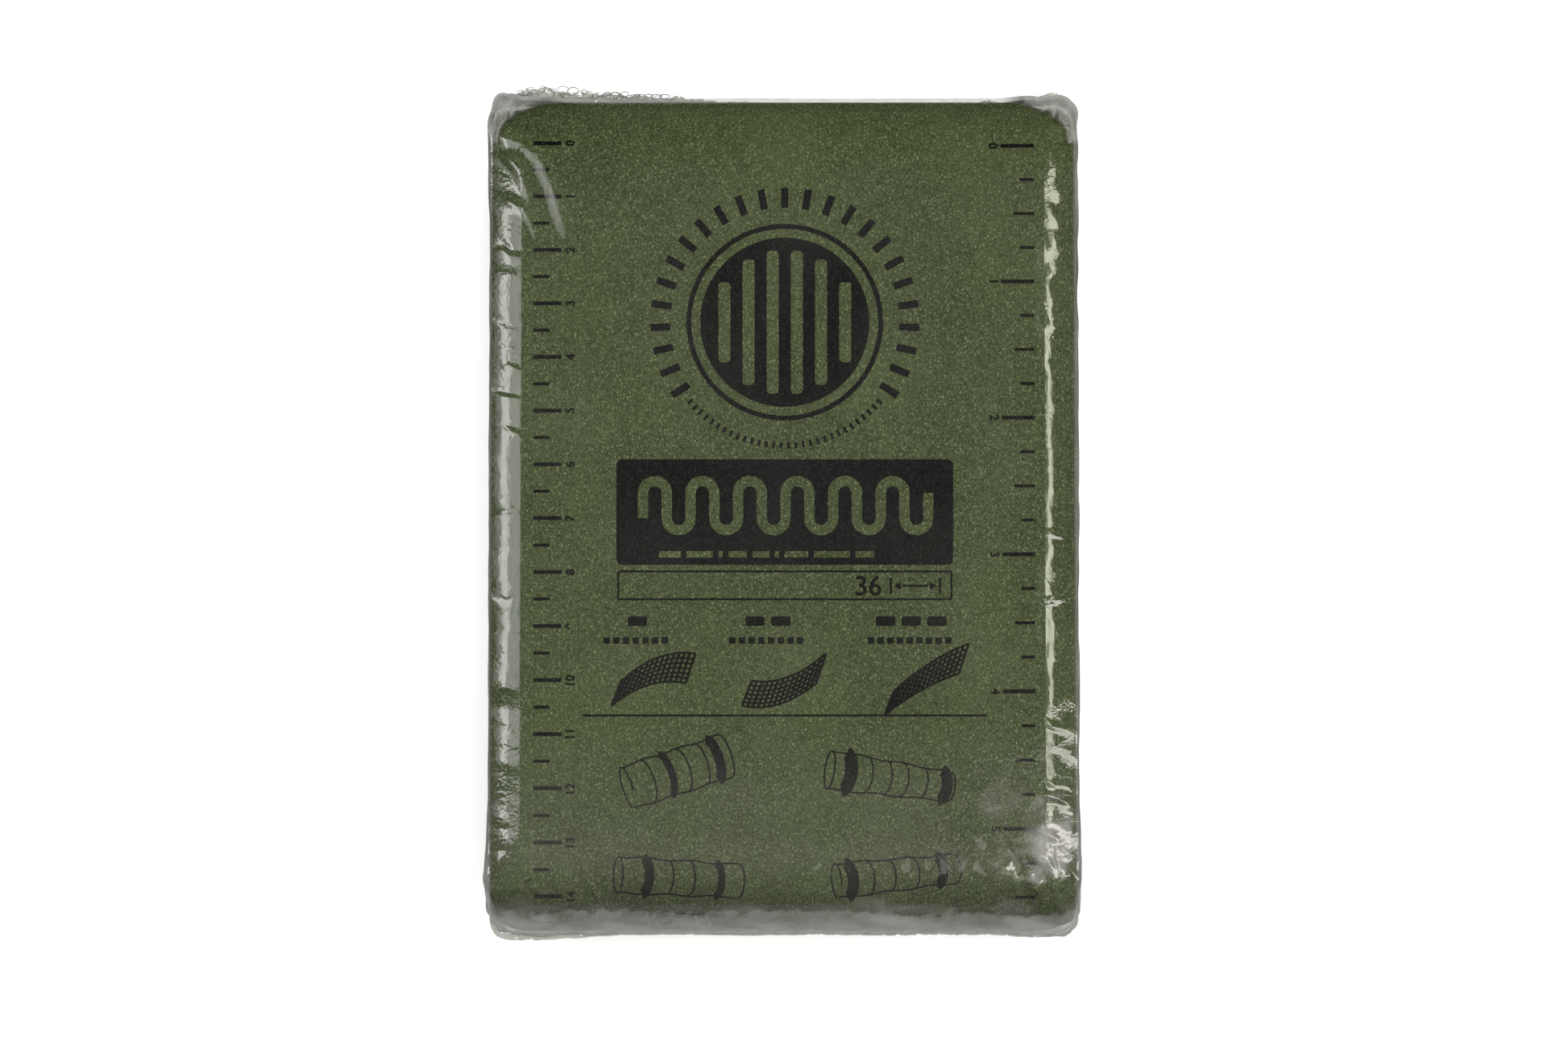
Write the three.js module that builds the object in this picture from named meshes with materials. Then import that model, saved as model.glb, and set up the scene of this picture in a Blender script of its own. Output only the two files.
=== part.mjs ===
// Aluminium foam splint, wound flat in six layers and held in clear shrink film.
// Millimetres, +Z up. It lies on its back: the printed face looks up, the free
// outer end lies towards +Y and bends down over the roll.

import * as THREE from 'three';

// Splint
const SPLINT_WIDTH = 109.2;       // across the splint, about four and a quarter inches
const FOAM_THICKNESS = 2.15;      // each of the two foam sheets
const CORE_THICKNESS = 0.4;       // soft aluminium sheet between them
const CORE_EDGE_MARGIN = 4;       // foam beyond the core at each long edge
const CORE_END_MARGIN = 9;        // foam beyond the core at each end
const CORE_CORNER_RADIUS = 5;     // plan corners of the core
const END_CORNER_RADIUS = 9.5;    // plan corners of the foam at its two ends
const BOND_CLEARANCE = 0.04;      // between a foam sheet and what it is bonded to
const CORE_STEP = 0.8;            // length of the step where the foam comes up over the core
const CORE_STEP_ROOM = 3;         // foam beyond that step, at least, in steps
const THINNEST_SHARE = 0.1;       // of the foam thickness, left where an edge falls most

// Roll
const LAYER_COUNT = 6;            // flat layers, counted through the roll
const LAYER_CLEARANCE = 0.22;     // between two neighbouring layers
const FLAT_LENGTH = 129.2;        // straight part of a layer between its folds
const FLAP_ANGLE = 45;            // degrees that the free end bends over the roll

// Foam edges: the outer face falls over a band along each border
const EDGE_BAND = 6.2;            // width of that band
const OUTER_EDGE_DROP = 1.9;      // at the long edges that the film pulls on
const INNER_EDGE_DROP = 0.8;      // at the long edges inside the roll
const END_EDGE_DROP = 1;          // at the two ends

// Film
const FILM_THICKNESS = 0.35;      // wall, thicker than real film
const FILM_CLEARANCE = 0.3;       // between the film and the foam
const FOLD_CORNER_RADIUS = 3.2;   // plan corners of the film at the folded end
const FREE_CORNER_RADIUS = 1.6;   // and at the free end, where it stays square
const SIDE_SEAL_WIDTH = 0.3;      // seal line along the long sides
const FREE_END_SEAL_WIDTH = 2.6;  // frilled seal at its widest, at the free end
const FOLD_END_SEAL_WIDTH = 0.9;  // bunched seal at the other end
const VENT_RADIUS = 1.5;          // air hole in the underside
const VENT_OFFSET = 40;           // its distance from the middle of the film

// Fineness
const FOLD_STEPS = 12;            // sections in each half turn
const SIDE_POINTS = 8;            // points of a film ring along each side
const CORNER_POINTS = 4;          // and round each corner

// Heights of the film's rings. On the shoulder they are shares of the edge drop
// below the top, on the wall shares of the half height, and at the seal film
// thicknesses from the middle. The ring at the flap's end stays in its range.
const SHOULDER_SHARES = [1, 0.6, 0.28, 0.08, 0];
const WALL_SHARES = [0.26, 0.48];
const FLAP_END_RANGE = [0.6, 0.72];
const SEAL_LEVELS = [-1, -0.5, 0.5, 1];

// Shares of the edge band where a section has points, and the fall there:
// the face starts down with a slope of its own and steepens to the border.
const BAND_SHARES = [0, 0.18, 0.52, 1];
const STRAIGHT_SHARE = 0.5;

// Width of the frilled seal along the free end, as shares: place is counted
// across the splint from -1 to 1, width is a share of the widest.
const FRILL = [
  { place: -1.0, width: 0.55 },
  { place: -0.93, width: 0.86 },
  { place: -0.84, width: 1.0 },
  { place: -0.66, width: 0.7 },
  { place: -0.48, width: 0.8 },
  { place: -0.3, width: 0.46 },
  { place: -0.12, width: 0.36 },
  { place: 0.1, width: 0.14 },
  { place: 0.52, width: 0.16 },
  { place: 0.7, width: 0.34 },
  { place: 0.82, width: 0.2 },
  { place: 0.93, width: 0.48 },
  { place: 1.0, width: 0.3 },
];
const BUNCH_WAVES = 5;            // waves of the bunched seal across the pack
const BUNCH_DEPTH = 0.4;          // their depth, as a share of its width

const halfWidth = SPLINT_WIDTH / 2;
const bondHeight = CORE_THICKNESS / 2 + BOND_CLEARANCE;
const seamHeight = BOND_CLEARANCE / 2;
const faceHeight = bondHeight + FOAM_THICKNESS;
const layerPitch = 2 * faceHeight + LAYER_CLEARANCE;
const foldEnd = -FLAT_LENGTH / 2;
const freeEnd = FLAT_LENGTH / 2;
const freeCentreHeight = -layerPitch / 2;
const rollHalfHeight = ((LAYER_COUNT - 1) * layerPitch) / 2 + faceHeight;
const flapRadius = (LAYER_COUNT * layerPitch) / 2;
const flapTurn = THREE.MathUtils.degToRad(FLAP_ANGLE);
const noseRadius = ((LAYER_COUNT - 2) * layerPitch) / 2 + faceHeight;

// The middle line of the splint, from its free outer end to its inner end, as
// arcs and straights. turn is the angle of the outward normal from straight up.
function wind() {
  const pieces = [];
  let along = 0;
  const add = (piece) => {
    pieces.push({ ...piece, start: along });
    along += piece.length;
  };
  add({
    centre: [freeEnd, freeCentreHeight],
    radius: flapRadius,
    turn: -flapTurn,
    length: flapRadius * flapTurn,
  });
  for (let layer = 0; layer < LAYER_COUNT; layer += 1) {
    const radius = ((LAYER_COUNT - 1 - layer) * layerPitch) / 2;
    const atFoldEnd = layer % 2 === 0;
    const way = atFoldEnd ? -1 : 1;
    const height = layer === 0
      ? rollHalfHeight - faceHeight
      : pieces[pieces.length - 1].leaveHeight;
    add({ from: [atFoldEnd ? freeEnd : foldEnd, height], way, turn: layer * Math.PI,
      length: FLAT_LENGTH });
    if (layer < LAYER_COUNT - 1) {
      const centreHeight = atFoldEnd ? 0 : freeCentreHeight;
      add({
        centre: [atFoldEnd ? foldEnd : freeEnd, centreHeight],
        radius,
        turn: layer * Math.PI,
        length: radius * Math.PI,
        leaveHeight: centreHeight + way * radius,
      });
    }
  }
  return { pieces, length: along };
}

const winding = wind();

// Place, outward normal and path direction on the middle line.
function pointAlong(distance) {
  const { pieces } = winding;
  let piece = pieces[0];
  for (const next of pieces) {
    if (distance >= next.start) {
      piece = next;
    }
  }
  const rest = distance - piece.start;
  const turn = piece.radius ? piece.turn + rest / piece.radius : piece.turn;
  const normal = [-Math.sin(turn), Math.cos(turn)];
  const place = piece.radius
    ? [piece.centre[0] + piece.radius * normal[0], piece.centre[1] + piece.radius * normal[1]]
    : [piece.from[0] + piece.way * rest, piece.from[1]];
  return { distance, place, normal };
}

// Distances from an end where a rounded corner of that radius gets a section.
function roundStations(radius) {
  const quarter = Math.PI / 2;
  return Array.from({ length: CORNER_POINTS + 1 }, (_, step) =>
    radius * (1 - Math.cos((quarter * step) / CORNER_POINTS)));
}

// Distances from each end where the foam's core face comes up over the core.
const coreStarts = [
  CORE_END_MARGIN - BOND_CLEARANCE - CORE_STEP,
  CORE_END_MARGIN - BOND_CLEARANCE,
];

// The sections of all three sheets, at the same places so that their faces stay
// parallel: both ends' corners, the core's start, and every step of a fold.
function stations() {
  const nearest = FOAM_THICKNESS / CORNER_POINTS;
  const marks = coreStarts.flatMap((distance) => [distance, winding.length - distance]);
  const keep = (distance) => {
    if (marks.every((mark) => Math.abs(mark - distance) > nearest)) {
      marks.push(distance);
    }
  };
  const corners = [
    ...roundStations(END_CORNER_RADIUS),
    ...roundStations(CORE_CORNER_RADIUS).map((distance) => CORE_END_MARGIN + distance),
  ];
  for (const distance of corners) {
    keep(distance);
    keep(winding.length - distance);
  }
  for (const piece of winding.pieces) {
    const turned = piece.radius ? piece.length / piece.radius : 0;
    const count = Math.max(1, Math.round((FOLD_STEPS * turned) / Math.PI));
    for (let step = 0; step <= count; step += 1) {
      keep(piece.start + (piece.length * step) / count);
    }
  }
  return marks.sort((low, high) => low - high).map(pointAlong);
}

// Half width in a rounded end: full width once past the corner radius.
function endHalfWidth(half, radius, distance) {
  const inCorner = Math.max(0, radius - distance);
  return half - radius + Math.sqrt(Math.max(0, radius * radius - inCorner * inCorner));
}

// Share of the edge drop at a distance from a border.
function fallShare(distance) {
  const share = Math.min(1, Math.max(0, 1 - distance / EDGE_BAND));
  return STRAIGHT_SHARE * share + (1 - STRAIGHT_SHARE) * share * share;
}

// Drop of the long edges: the film pulls on the two outermost layers only, and
// the fold that leads into the roll changes from one drop to the other.
function longEdgeDrop(distance) {
  const turnIn = winding.pieces.find((piece) => piece.radius && piece.turn === Math.PI);
  const share = turnIn ? (distance - turnIn.start) / turnIn.length : 0;
  return THREE.MathUtils.lerp(
    OUTER_EDGE_DROP, INNER_EDGE_DROP, THREE.MathUtils.clamp(share, 0, 1));
}

// Joins sections into a closed solid. Each section has a lower and an upper
// line of [across, height] points, both running the same way across.
function loft(sections) {
  const positions = [];
  const indices = [];
  const lowerCount = sections[0].lower.length;
  const upperCount = sections[0].upper.length;
  const ringCount = lowerCount + upperCount;
  for (const { at, lower, upper } of sections) {
    for (const [across, height] of [...lower, ...[...upper].reverse()]) {
      positions.push(across, at.place[0] + height * at.normal[0],
        at.place[1] + height * at.normal[1]);
    }
  }
  for (let row = 0; row + 1 < sections.length; row += 1) {
    for (let column = 0; column < ringCount; column += 1) {
      const a = row * ringCount + column;
      const b = row * ringCount + ((column + 1) % ringCount);
      indices.push(a, b, b + ringCount, a, b + ringCount, a + ringCount);
    }
  }
  const closeEnd = (row, flip) => {
    const base = row * ringCount;
    const low = (index) => base + index;
    const high = (index) => base + ringCount - 1 - index;
    const { lower, upper } = sections[row];
    let l = 0;
    let u = 0;
    while (l < lowerCount - 1 || u < upperCount - 1) {
      const lowNext = l < lowerCount - 1
        && (u === upperCount - 1 || lower[l + 1][0] <= upper[u + 1][0]);
      const triangle = lowNext
        ? [low(l), low(l + 1), high(u)]
        : [low(l), high(u + 1), high(u)];
      l += lowNext ? 1 : 0;
      u += lowNext ? 0 : 1;
      indices.push(...(flip ? triangle.reverse() : triangle));
    }
  };
  closeEnd(0, true);
  closeEnd(sections.length - 1, false);
  return solid(positions, indices);
}

// A closed solid of these corners and triangles.
function solid(positions, indices) {
  const geometry = new THREE.BufferGeometry();
  geometry.setAttribute('position', new THREE.Float32BufferAttribute(positions, 3));
  geometry.setIndex(indices);
  geometry.computeVertexNormals();
  return geometry;
}

// One foam sheet. side is 1 for the sheet outside the core and -1 inside it.
// Its core face steps over the core and comes down to the seam beyond it.
function foamSheet(side) {
  const coreHalf = halfWidth - CORE_EDGE_MARGIN + BOND_CLEARANCE;
  const sections = stations().map((at) => {
    const endDistance = Math.min(at.distance, winding.length - at.distance);
    const half = endHalfWidth(halfWidth, END_CORNER_RADIUS, endDistance);
    const coreShare = THREE.MathUtils.clamp(
      (endDistance - coreStarts[0]) / CORE_STEP, 0, 1);
    const inner = THREE.MathUtils.lerp(seamHeight, bondHeight, coreShare);
    const sideDrop = side > 0 ? longEdgeDrop(at.distance) : INNER_EDGE_DROP;
    const endDrop = END_EDGE_DROP * fallShare(endDistance);
    const stepIn = Math.min(coreHalf, half - CORE_STEP * CORE_STEP_ROOM);
    const lowerHalf = [
      [half, seamHeight],
      [stepIn + CORE_STEP, seamHeight],
      [stepIn, inner],
    ];
    const upperHalf = BAND_SHARES.map((share) => {
      const inset = share * EDGE_BAND;
      const drop = Math.hypot(sideDrop * fallShare(inset), endDrop);
      const thinnest = seamHeight + FOAM_THICKNESS * THINNEST_SHARE;
      return [half - inset, Math.max(thinnest, faceHeight - drop)];
    });
    const mirror = (line) => [
      ...line.map(([across, height]) => [-across, height]),
      ...[...line].reverse(),
    ];
    const turned = (line) => line.map(([across, height]) => [across, side * height]);
    const lower = turned(mirror(lowerHalf));
    const upper = turned(mirror(upperHalf));
    return side > 0 ? { at, lower, upper } : { at, lower: upper, upper: lower };
  });
  return loft(sections);
}

// The aluminium sheet, flat on both faces, with rounded plan corners.
function coreSheet() {
  const ends = [CORE_END_MARGIN, winding.length - CORE_END_MARGIN];
  const between = stations().filter(({ distance }) => distance > ends[0] && distance < ends[1]);
  const places = [pointAlong(ends[0]), ...between, pointAlong(ends[1])];
  const sections = places.map((at) => {
    const endDistance = Math.min(at.distance, winding.length - at.distance) - CORE_END_MARGIN;
    const half = endHalfWidth(halfWidth - CORE_EDGE_MARGIN, CORE_CORNER_RADIUS, endDistance);
    const level = CORE_THICKNESS / 2;
    return {
      at,
      lower: [[-half, -level], [half, -level]],
      upper: [[-half, level], [half, level]],
    };
  });
  return loft(sections);
}

// Half extents of the wrapped roll at a height, offset outwards by a distance.
function extentsAt(height, offset) {
  const top = rollHalfHeight + offset;
  const drop = Math.min(1, (top - Math.abs(height)) / OUTER_EDGE_DROP);
  const line = STRAIGHT_SHARE;
  const bow = 1 - line;
  const share = (-line + Math.sqrt(line * line + 4 * bow * drop)) / (2 * bow);
  const across = halfWidth + offset - EDGE_BAND * (1 - share);
  const foldReach = Math.sqrt(Math.max(0, top * top - height * height));
  const flapOuter = flapRadius + faceHeight;
  const reach = Math.max(noseRadius, flapOuter * Math.sin(flapTurn)) + offset;
  const aboveNose = height - freeCentreHeight;
  const flapTop = flapOuter + offset;
  const flapReach = Math.sqrt(Math.max(0, flapTop * flapTop - aboveNose * aboveNose));
  const below = Math.min(1, -aboveNose / (noseRadius + offset));
  const freeReach = aboveNose > 0
    ? Math.min(reach, flapReach)
    : reach * Math.sqrt(Math.max(0, 1 - below * below));
  return { across, foldY: foldEnd - foldReach, freeY: freeEnd + freeReach };
}

// Largest plan radius that still clears a foam corner set back by a drop.
function clearRadius(wanted, drop) {
  const spare = FILM_CLEARANCE / 2;
  const inset = drop + FILM_CLEARANCE;
  return Math.min(wanted, spare + inset + Math.sqrt(2 * spare * inset));
}

// A film ring: a rounded rectangle, counter-clockwise from the end of the
// folded side at +X, with the outward direction at each point.
function filmRing(height, offset) {
  const { across, foldY, freeY } = extentsAt(height, offset);
  const fold = clearRadius(FOLD_CORNER_RADIUS, OUTER_EDGE_DROP);
  const free = clearRadius(FREE_CORNER_RADIUS, (OUTER_EDGE_DROP + INNER_EDGE_DROP) / 2);
  const corners = [
    { x: across - fold, y: foldY + fold, radius: fold, turn: -Math.PI / 2 },
    { x: across - free, y: freeY - free, radius: free, turn: 0 },
    { x: free - across, y: freeY - free, radius: free, turn: Math.PI / 2 },
    { x: fold - across, y: foldY + fold, radius: fold, turn: Math.PI },
  ];
  const ring = [];
  corners.forEach((corner, index) => {
    for (let step = 0; step <= CORNER_POINTS; step += 1) {
      const angle = corner.turn + (Math.PI / 2) * (step / CORNER_POINTS);
      const out = [Math.cos(angle), Math.sin(angle)];
      const x = corner.x + corner.radius * out[0];
      const y = corner.y + corner.radius * out[1];
      ring.push({ x, y, out, height });
    }
    const last = ring[ring.length - 1];
    const next = corners[(index + 1) % corners.length];
    const nextX = next.x + next.radius * Math.cos(next.turn);
    const nextY = next.y + next.radius * Math.sin(next.turn);
    for (let step = 1; step < SIDE_POINTS; step += 1) {
      const share = step / SIDE_POINTS;
      ring.push({
        x: THREE.MathUtils.lerp(last.x, nextX, share),
        y: THREE.MathUtils.lerp(last.y, nextY, share),
        out: last.out,
        height,
      });
    }
  });
  return ring;
}

// Width of the seal that stands out from the film at a point of its ring.
function sealWidth({ x, out }) {
  const place = THREE.MathUtils.clamp(x / halfWidth, -1, 1);
  const after = Math.max(1, FRILL.findIndex((row) => row.place >= place));
  const [a, b] = [FRILL[after - 1], FRILL[after]];
  const share = (place - a.place) / (b.place - a.place);
  const frill = FREE_END_SEAL_WIDTH * THREE.MathUtils.lerp(a.width, b.width, share);
  const wave = 1 + BUNCH_DEPTH * Math.sin(Math.PI * BUNCH_WAVES * place);
  const bunched = FOLD_END_SEAL_WIDTH * wave;
  const toEnd = out[1] * out[1];
  return THREE.MathUtils.lerp(SIDE_SEAL_WIDTH, out[1] > 0 ? frill : bunched, toEnd);
}

// Heights of the film rings as shares of the half height: closer together on
// the shoulder, and one where the free end of the splint stops.
function ringShares(top) {
  const shoulder = SHOULDER_SHARES.map((share) => 1 - (share * OUTER_EDGE_DROP) / top);
  const flapEnd = freeCentreHeight + (flapRadius + faceHeight) * Math.cos(flapTurn);
  const breakAt = THREE.MathUtils.clamp(flapEnd / top, ...FLAP_END_RANGE);
  const wall = [...WALL_SHARES, breakAt, (breakAt + shoulder[0]) / 2];
  return { wall, shoulder };
}

// The film: a hollow shell from the air hole in its underside, up over the
// outside to the middle of the top, and back inside to the same hole.
function shrinkFilm() {
  const outerOffset = FILM_CLEARANCE + FILM_THICKNESS;
  const surface = (offset, withSeal) => {
    const top = rollHalfHeight + offset;
    const { wall, shoulder } = ringShares(top);
    const half = [...wall, ...shoulder].map((share) => share * top);
    const below = [...half].reverse().map((height) => filmRing(-height, offset));
    const above = half.map((height) => filmRing(height, offset));
    const seal = SEAL_LEVELS.map((level) => filmRing(level * FILM_THICKNESS, offset)
      .map((point) => {
        const width = Math.abs(level) < 1 ? sealWidth(point) : 0;
        return {
          ...point,
          x: point.x + width * point.out[0],
          y: point.y + width * point.out[1],
        };
      }));
    return [...below, ...(withSeal ? seal : [filmRing(0, offset)]), ...above];
  };
  const outer = surface(outerOffset, true);
  const inner = surface(FILM_CLEARANCE, false);
  const vent = outer[0].map(({ x, y }) => {
    const angle = Math.atan2(y - VENT_OFFSET, x);
    return [VENT_RADIUS * Math.cos(angle), VENT_OFFSET + VENT_RADIUS * Math.sin(angle)];
  });
  const ventRing = (height) => vent.map(([x, y]) => ({ x, y, height }));
  const ringSize = vent.length;
  const positions = [];
  const indices = [];
  const addRings = (rings, flip) => {
    const base = positions.length / 3;
    for (const ring of rings) {
      for (const { x, y, height } of ring) {
        positions.push(x, y, height);
      }
    }
    const last = rings[rings.length - 1][0];
    positions.push(0, 0, last.height);
    const add = (...triangle) => indices.push(...(flip ? triangle.reverse() : triangle));
    for (let row = 0; row + 1 < rings.length; row += 1) {
      for (let column = 0; column < ringSize; column += 1) {
        const a = base + row * ringSize + column;
        const b = base + row * ringSize + ((column + 1) % ringSize);
        add(a, b, b + ringSize);
        add(a, b + ringSize, a + ringSize);
      }
    }
    const pole = base + rings.length * ringSize;
    const rim = pole - ringSize;
    for (let column = 0; column < ringSize; column += 1) {
      add(rim + column, rim + ((column + 1) % ringSize), pole);
    }
    return base;
  };
  const outerBase = addRings([ventRing(outer[0][0].height), ...outer], false);
  const innerBase = addRings([ventRing(inner[0][0].height), ...inner], true);
  for (let column = 0; column < ringSize; column += 1) {
    const next = (column + 1) % ringSize;
    const [a, b] = [outerBase + column, outerBase + next];
    const [c, d] = [innerBase + column, innerBase + next];
    indices.push(a, d, b, a, c, d);
  }
  return solid(positions, indices);
}

const looks = {
  foam_outer: { color: 0x4b553b, roughness: 0.95, metalness: 0 },
  foam_inner: { color: 0x4b553b, roughness: 0.95, metalness: 0 },
  aluminium_core: { color: 0xc4c6c7, roughness: 0.35, metalness: 1 },
  shrink_film: { color: 0xd6d9d0, roughness: 0.12, metalness: 0, transparent: true, opacity: 0.3 },
};
const shapes = {
  foam_outer: foamSheet(1),
  aluminium_core: coreSheet(),
  foam_inner: foamSheet(-1),
  shrink_film: shrinkFilm(),
};

// The origin lies under the middle of the part, at the height it rests on.
const part = new THREE.Group();
part.name = 'foam_splint';
const bounds = new THREE.Box3();
for (const geometry of Object.values(shapes)) {
  geometry.computeBoundingBox();
  bounds.union(geometry.boundingBox);
}
const middle = bounds.getCenter(new THREE.Vector3());
for (const [name, geometry] of Object.entries(shapes)) {
  geometry.translate(-middle.x, -middle.y, -bounds.min.z);
  const mesh = new THREE.Mesh(geometry, new THREE.MeshStandardMaterial(looks[name]));
  mesh.name = name;
  part.add(mesh);
}

export default part;
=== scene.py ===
import math

import bpy
import numpy as np
from mathutils import Matrix, Vector


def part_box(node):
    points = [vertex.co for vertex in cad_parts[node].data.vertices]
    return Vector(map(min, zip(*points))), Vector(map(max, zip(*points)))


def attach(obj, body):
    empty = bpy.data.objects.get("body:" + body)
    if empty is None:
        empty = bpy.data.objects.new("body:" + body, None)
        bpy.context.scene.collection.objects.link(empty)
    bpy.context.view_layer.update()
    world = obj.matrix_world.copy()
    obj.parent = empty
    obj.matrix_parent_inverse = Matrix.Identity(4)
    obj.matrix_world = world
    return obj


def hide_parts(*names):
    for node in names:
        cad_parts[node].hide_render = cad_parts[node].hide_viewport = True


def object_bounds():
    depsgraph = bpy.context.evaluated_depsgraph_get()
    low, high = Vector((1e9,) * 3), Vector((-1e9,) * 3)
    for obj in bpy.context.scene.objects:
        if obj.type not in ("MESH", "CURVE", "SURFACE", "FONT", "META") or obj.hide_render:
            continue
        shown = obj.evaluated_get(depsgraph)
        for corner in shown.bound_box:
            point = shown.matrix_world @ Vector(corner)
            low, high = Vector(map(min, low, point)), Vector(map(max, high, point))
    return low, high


# Aluminium foam splint, wound flat in six layers and held in clear shrink film.
# The folded end lies towards -Y, the free end towards +Y, the print looks up.

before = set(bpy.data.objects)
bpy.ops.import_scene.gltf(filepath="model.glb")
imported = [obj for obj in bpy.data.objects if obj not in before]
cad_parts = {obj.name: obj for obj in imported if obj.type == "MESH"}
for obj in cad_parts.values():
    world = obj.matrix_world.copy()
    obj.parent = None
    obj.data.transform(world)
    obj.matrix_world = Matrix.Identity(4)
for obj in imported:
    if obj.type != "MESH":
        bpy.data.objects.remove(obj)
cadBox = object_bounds()
print("stage: frame loaded")

mm = 0.001

# The roll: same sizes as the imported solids, in metres
roll = {
    "width": 0.1092,
    "foam": 0.00215,        # one foam sheet
    "core": 0.0004,
    "bond": 0.00004,
    "gap": 0.00022,         # between two layers
    "layers": 6,
    "flat": 0.1292,         # straight part of a layer
    "flapDegrees": 45,
    "edgeBand": 0.0062,     # the outer face falls over this band
    "outerDrop": 0.0019,
    "innerDrop": 0.0008,
    "endDrop": 0.0005,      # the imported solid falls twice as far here
    "endCorner": 0.0095,
    "rim": 0.00045,         # rounding of a cut foam edge
    "coreMargin": 0.004, "coreEndMargin": 0.009,    # foam beyond the core
    "thinnest": 0.1,        # share of the foam left where an edge falls most
}
halfWidth = roll["width"] / 2
bondLevel = roll["core"] / 2 + roll["bond"]
faceLevel = bondLevel + roll["foam"]
pitch = 2 * faceLevel + roll["gap"]
halfHeight = (roll["layers"] - 1) * pitch / 2 + faceLevel
flapRadius = roll["layers"] * pitch / 2
flapTurn = math.radians(roll["flapDegrees"])
noseRadius = (roll["layers"] - 2) * pitch / 2 + faceLevel
freeCentre = -pitch / 2     # height of the free end's fold centre over the roll's middle
foldEnd, freeEnd = -roll["flat"] / 2, roll["flat"] / 2
flapReach = (flapRadius + faceLevel) * math.sin(flapTurn)       # beyond the fold centre
flapEnd = freeEnd + flapReach

foamLow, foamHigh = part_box("foam_outer")
rollMiddle = np.array([
    (foamLow.x + foamHigh.x) / 2,
    foamLow.y + halfHeight - foldEnd,
    foamLow.z + halfHeight,
])


def newMesh(name, points, faces, smooth=True):
    # points: (n, 3) array; faces: (m, 4) or (m, 3) array of corners, facing out
    mesh = bpy.data.meshes.new(name)
    faces = np.asarray(faces)
    size = faces.shape[1]
    mesh.vertices.add(len(points))
    mesh.vertices.foreach_set("co", np.asarray(points, float).ravel())
    mesh.loops.add(faces.size)
    mesh.loops.foreach_set("vertex_index", faces.ravel())
    mesh.polygons.add(len(faces))
    mesh.polygons.foreach_set("loop_start", np.arange(len(faces)) * size)
    mesh.polygons.foreach_set("use_smooth", np.full(len(faces), smooth))
    mesh.update(calc_edges=True)
    mesh.validate()
    piece = bpy.data.objects.new(name, mesh)
    bpy.context.scene.collection.objects.link(piece)
    return piece


def ringFaces(a, b):
    # four-cornered faces between rows of corners a and b, each row closed round
    return np.stack([a, np.roll(a, -1, 1), np.roll(b, -1, 1), b], axis=-1).reshape(-1, 4)


def numbered(grid):
    # the numbers of a grid's points, row by row
    rows, columns = grid.shape[:2]
    return np.arange(rows * columns).reshape(rows, columns)


def halved(faces):
    # each face of four corners as two triangles
    return faces[:, [0, 1, 2]], faces[:, [0, 2, 3]]


def spin(angle):
    # matrix that turns rows of (x, y) by an angle: c and s, then -s and c
    c, s = math.cos(angle), math.sin(angle)
    return np.array([[c, s], [-s, c]])


def setAttribute(piece, name, values):
    # one value for each point of the mesh, for the materials to read
    layer = piece.data.attributes.new(name, "FLOAT", "POINT")
    layer.data.foreach_set("value", np.asarray(values, float).ravel())


def smoothStep(low, high, value):
    # 0 below low, 1 above high, 3t^2 - 2t^3 between
    t = np.clip((value - low) / (high - low), 0, 1)
    return t * t * (3 - 2 * t)


def ripple(a, b, seed, waves, length, spread=0.5):
    # sum of sines of random direction and phase over a plane: wavelengths round length
    rng = np.random.default_rng(seed)
    total = np.zeros(np.broadcast(a, b).shape)
    for _ in range(waves):
        angle, phase = rng.uniform(0, 2 * math.pi, 2)
        number = 2 * math.pi / (length * rng.uniform(1 - spread, 1 + spread))
        total += np.sin(number * (a * math.cos(angle) + b * math.sin(angle)) + phase)
    return total / math.sqrt(waves)


# Path of the splint's middle line, from the free outer end to the inner end
def windPath():
    pieces = [{
        "y": freeEnd, "z": freeCentre, "radius": flapRadius,
        "turn": -flapTurn, "start": 0.0, "length": flapRadius * flapTurn,
    }]
    height = halfHeight - faceLevel
    for layer in range(roll["layers"]):
        atFold = layer % 2 == 0
        way = -1 if atFold else 1
        start = pieces[-1]["start"] + pieces[-1]["length"]
        pieces.append({
            "y": freeEnd if atFold else foldEnd, "z": height, "radius": 0, "way": way,
            "turn": layer * math.pi, "start": start, "length": roll["flat"],
        })
        radius = (roll["layers"] - 1 - layer) * pitch / 2
        if radius:
            centre = 0 if atFold else freeCentre
            pieces.append({
                "y": foldEnd if atFold else freeEnd, "z": centre, "radius": radius,
                "turn": layer * math.pi, "start": start + roll["flat"],
                "length": radius * math.pi,
            })
            height = centre + way * radius
    return pieces


path = windPath()
pathLength = path[-1]["start"] + path[-1]["length"]
topStart = path[1]["start"]         # where the top layer leaves the flap


def alongPath(distance):
    # middle line at a distance: y, z and the turn of the outward normal from straight up
    y, z, turn = (np.zeros_like(distance) for _ in range(3))
    for piece in path:
        here = distance >= piece["start"]
        rest = distance[here] - piece["start"]
        if piece["radius"]:
            turn[here] = piece["turn"] + rest / piece["radius"]
            y[here] = piece["y"] - piece["radius"] * np.sin(turn[here])
            z[here] = piece["z"] + piece["radius"] * np.cos(turn[here])
        else:
            turn[here] = piece["turn"]
            y[here] = piece["y"] + piece["way"] * rest
            z[here] = piece["z"]
    return y, z, turn


def placed(across, distance, level):
    # a point at a level off the middle line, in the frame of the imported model
    y, z, turn = alongPath(distance)
    return np.stack([
        across + rollMiddle[0],
        y - level * np.sin(turn) + rollMiddle[1],
        z + level * np.cos(turn) + rollMiddle[2],
    ], axis=-1)


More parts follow.
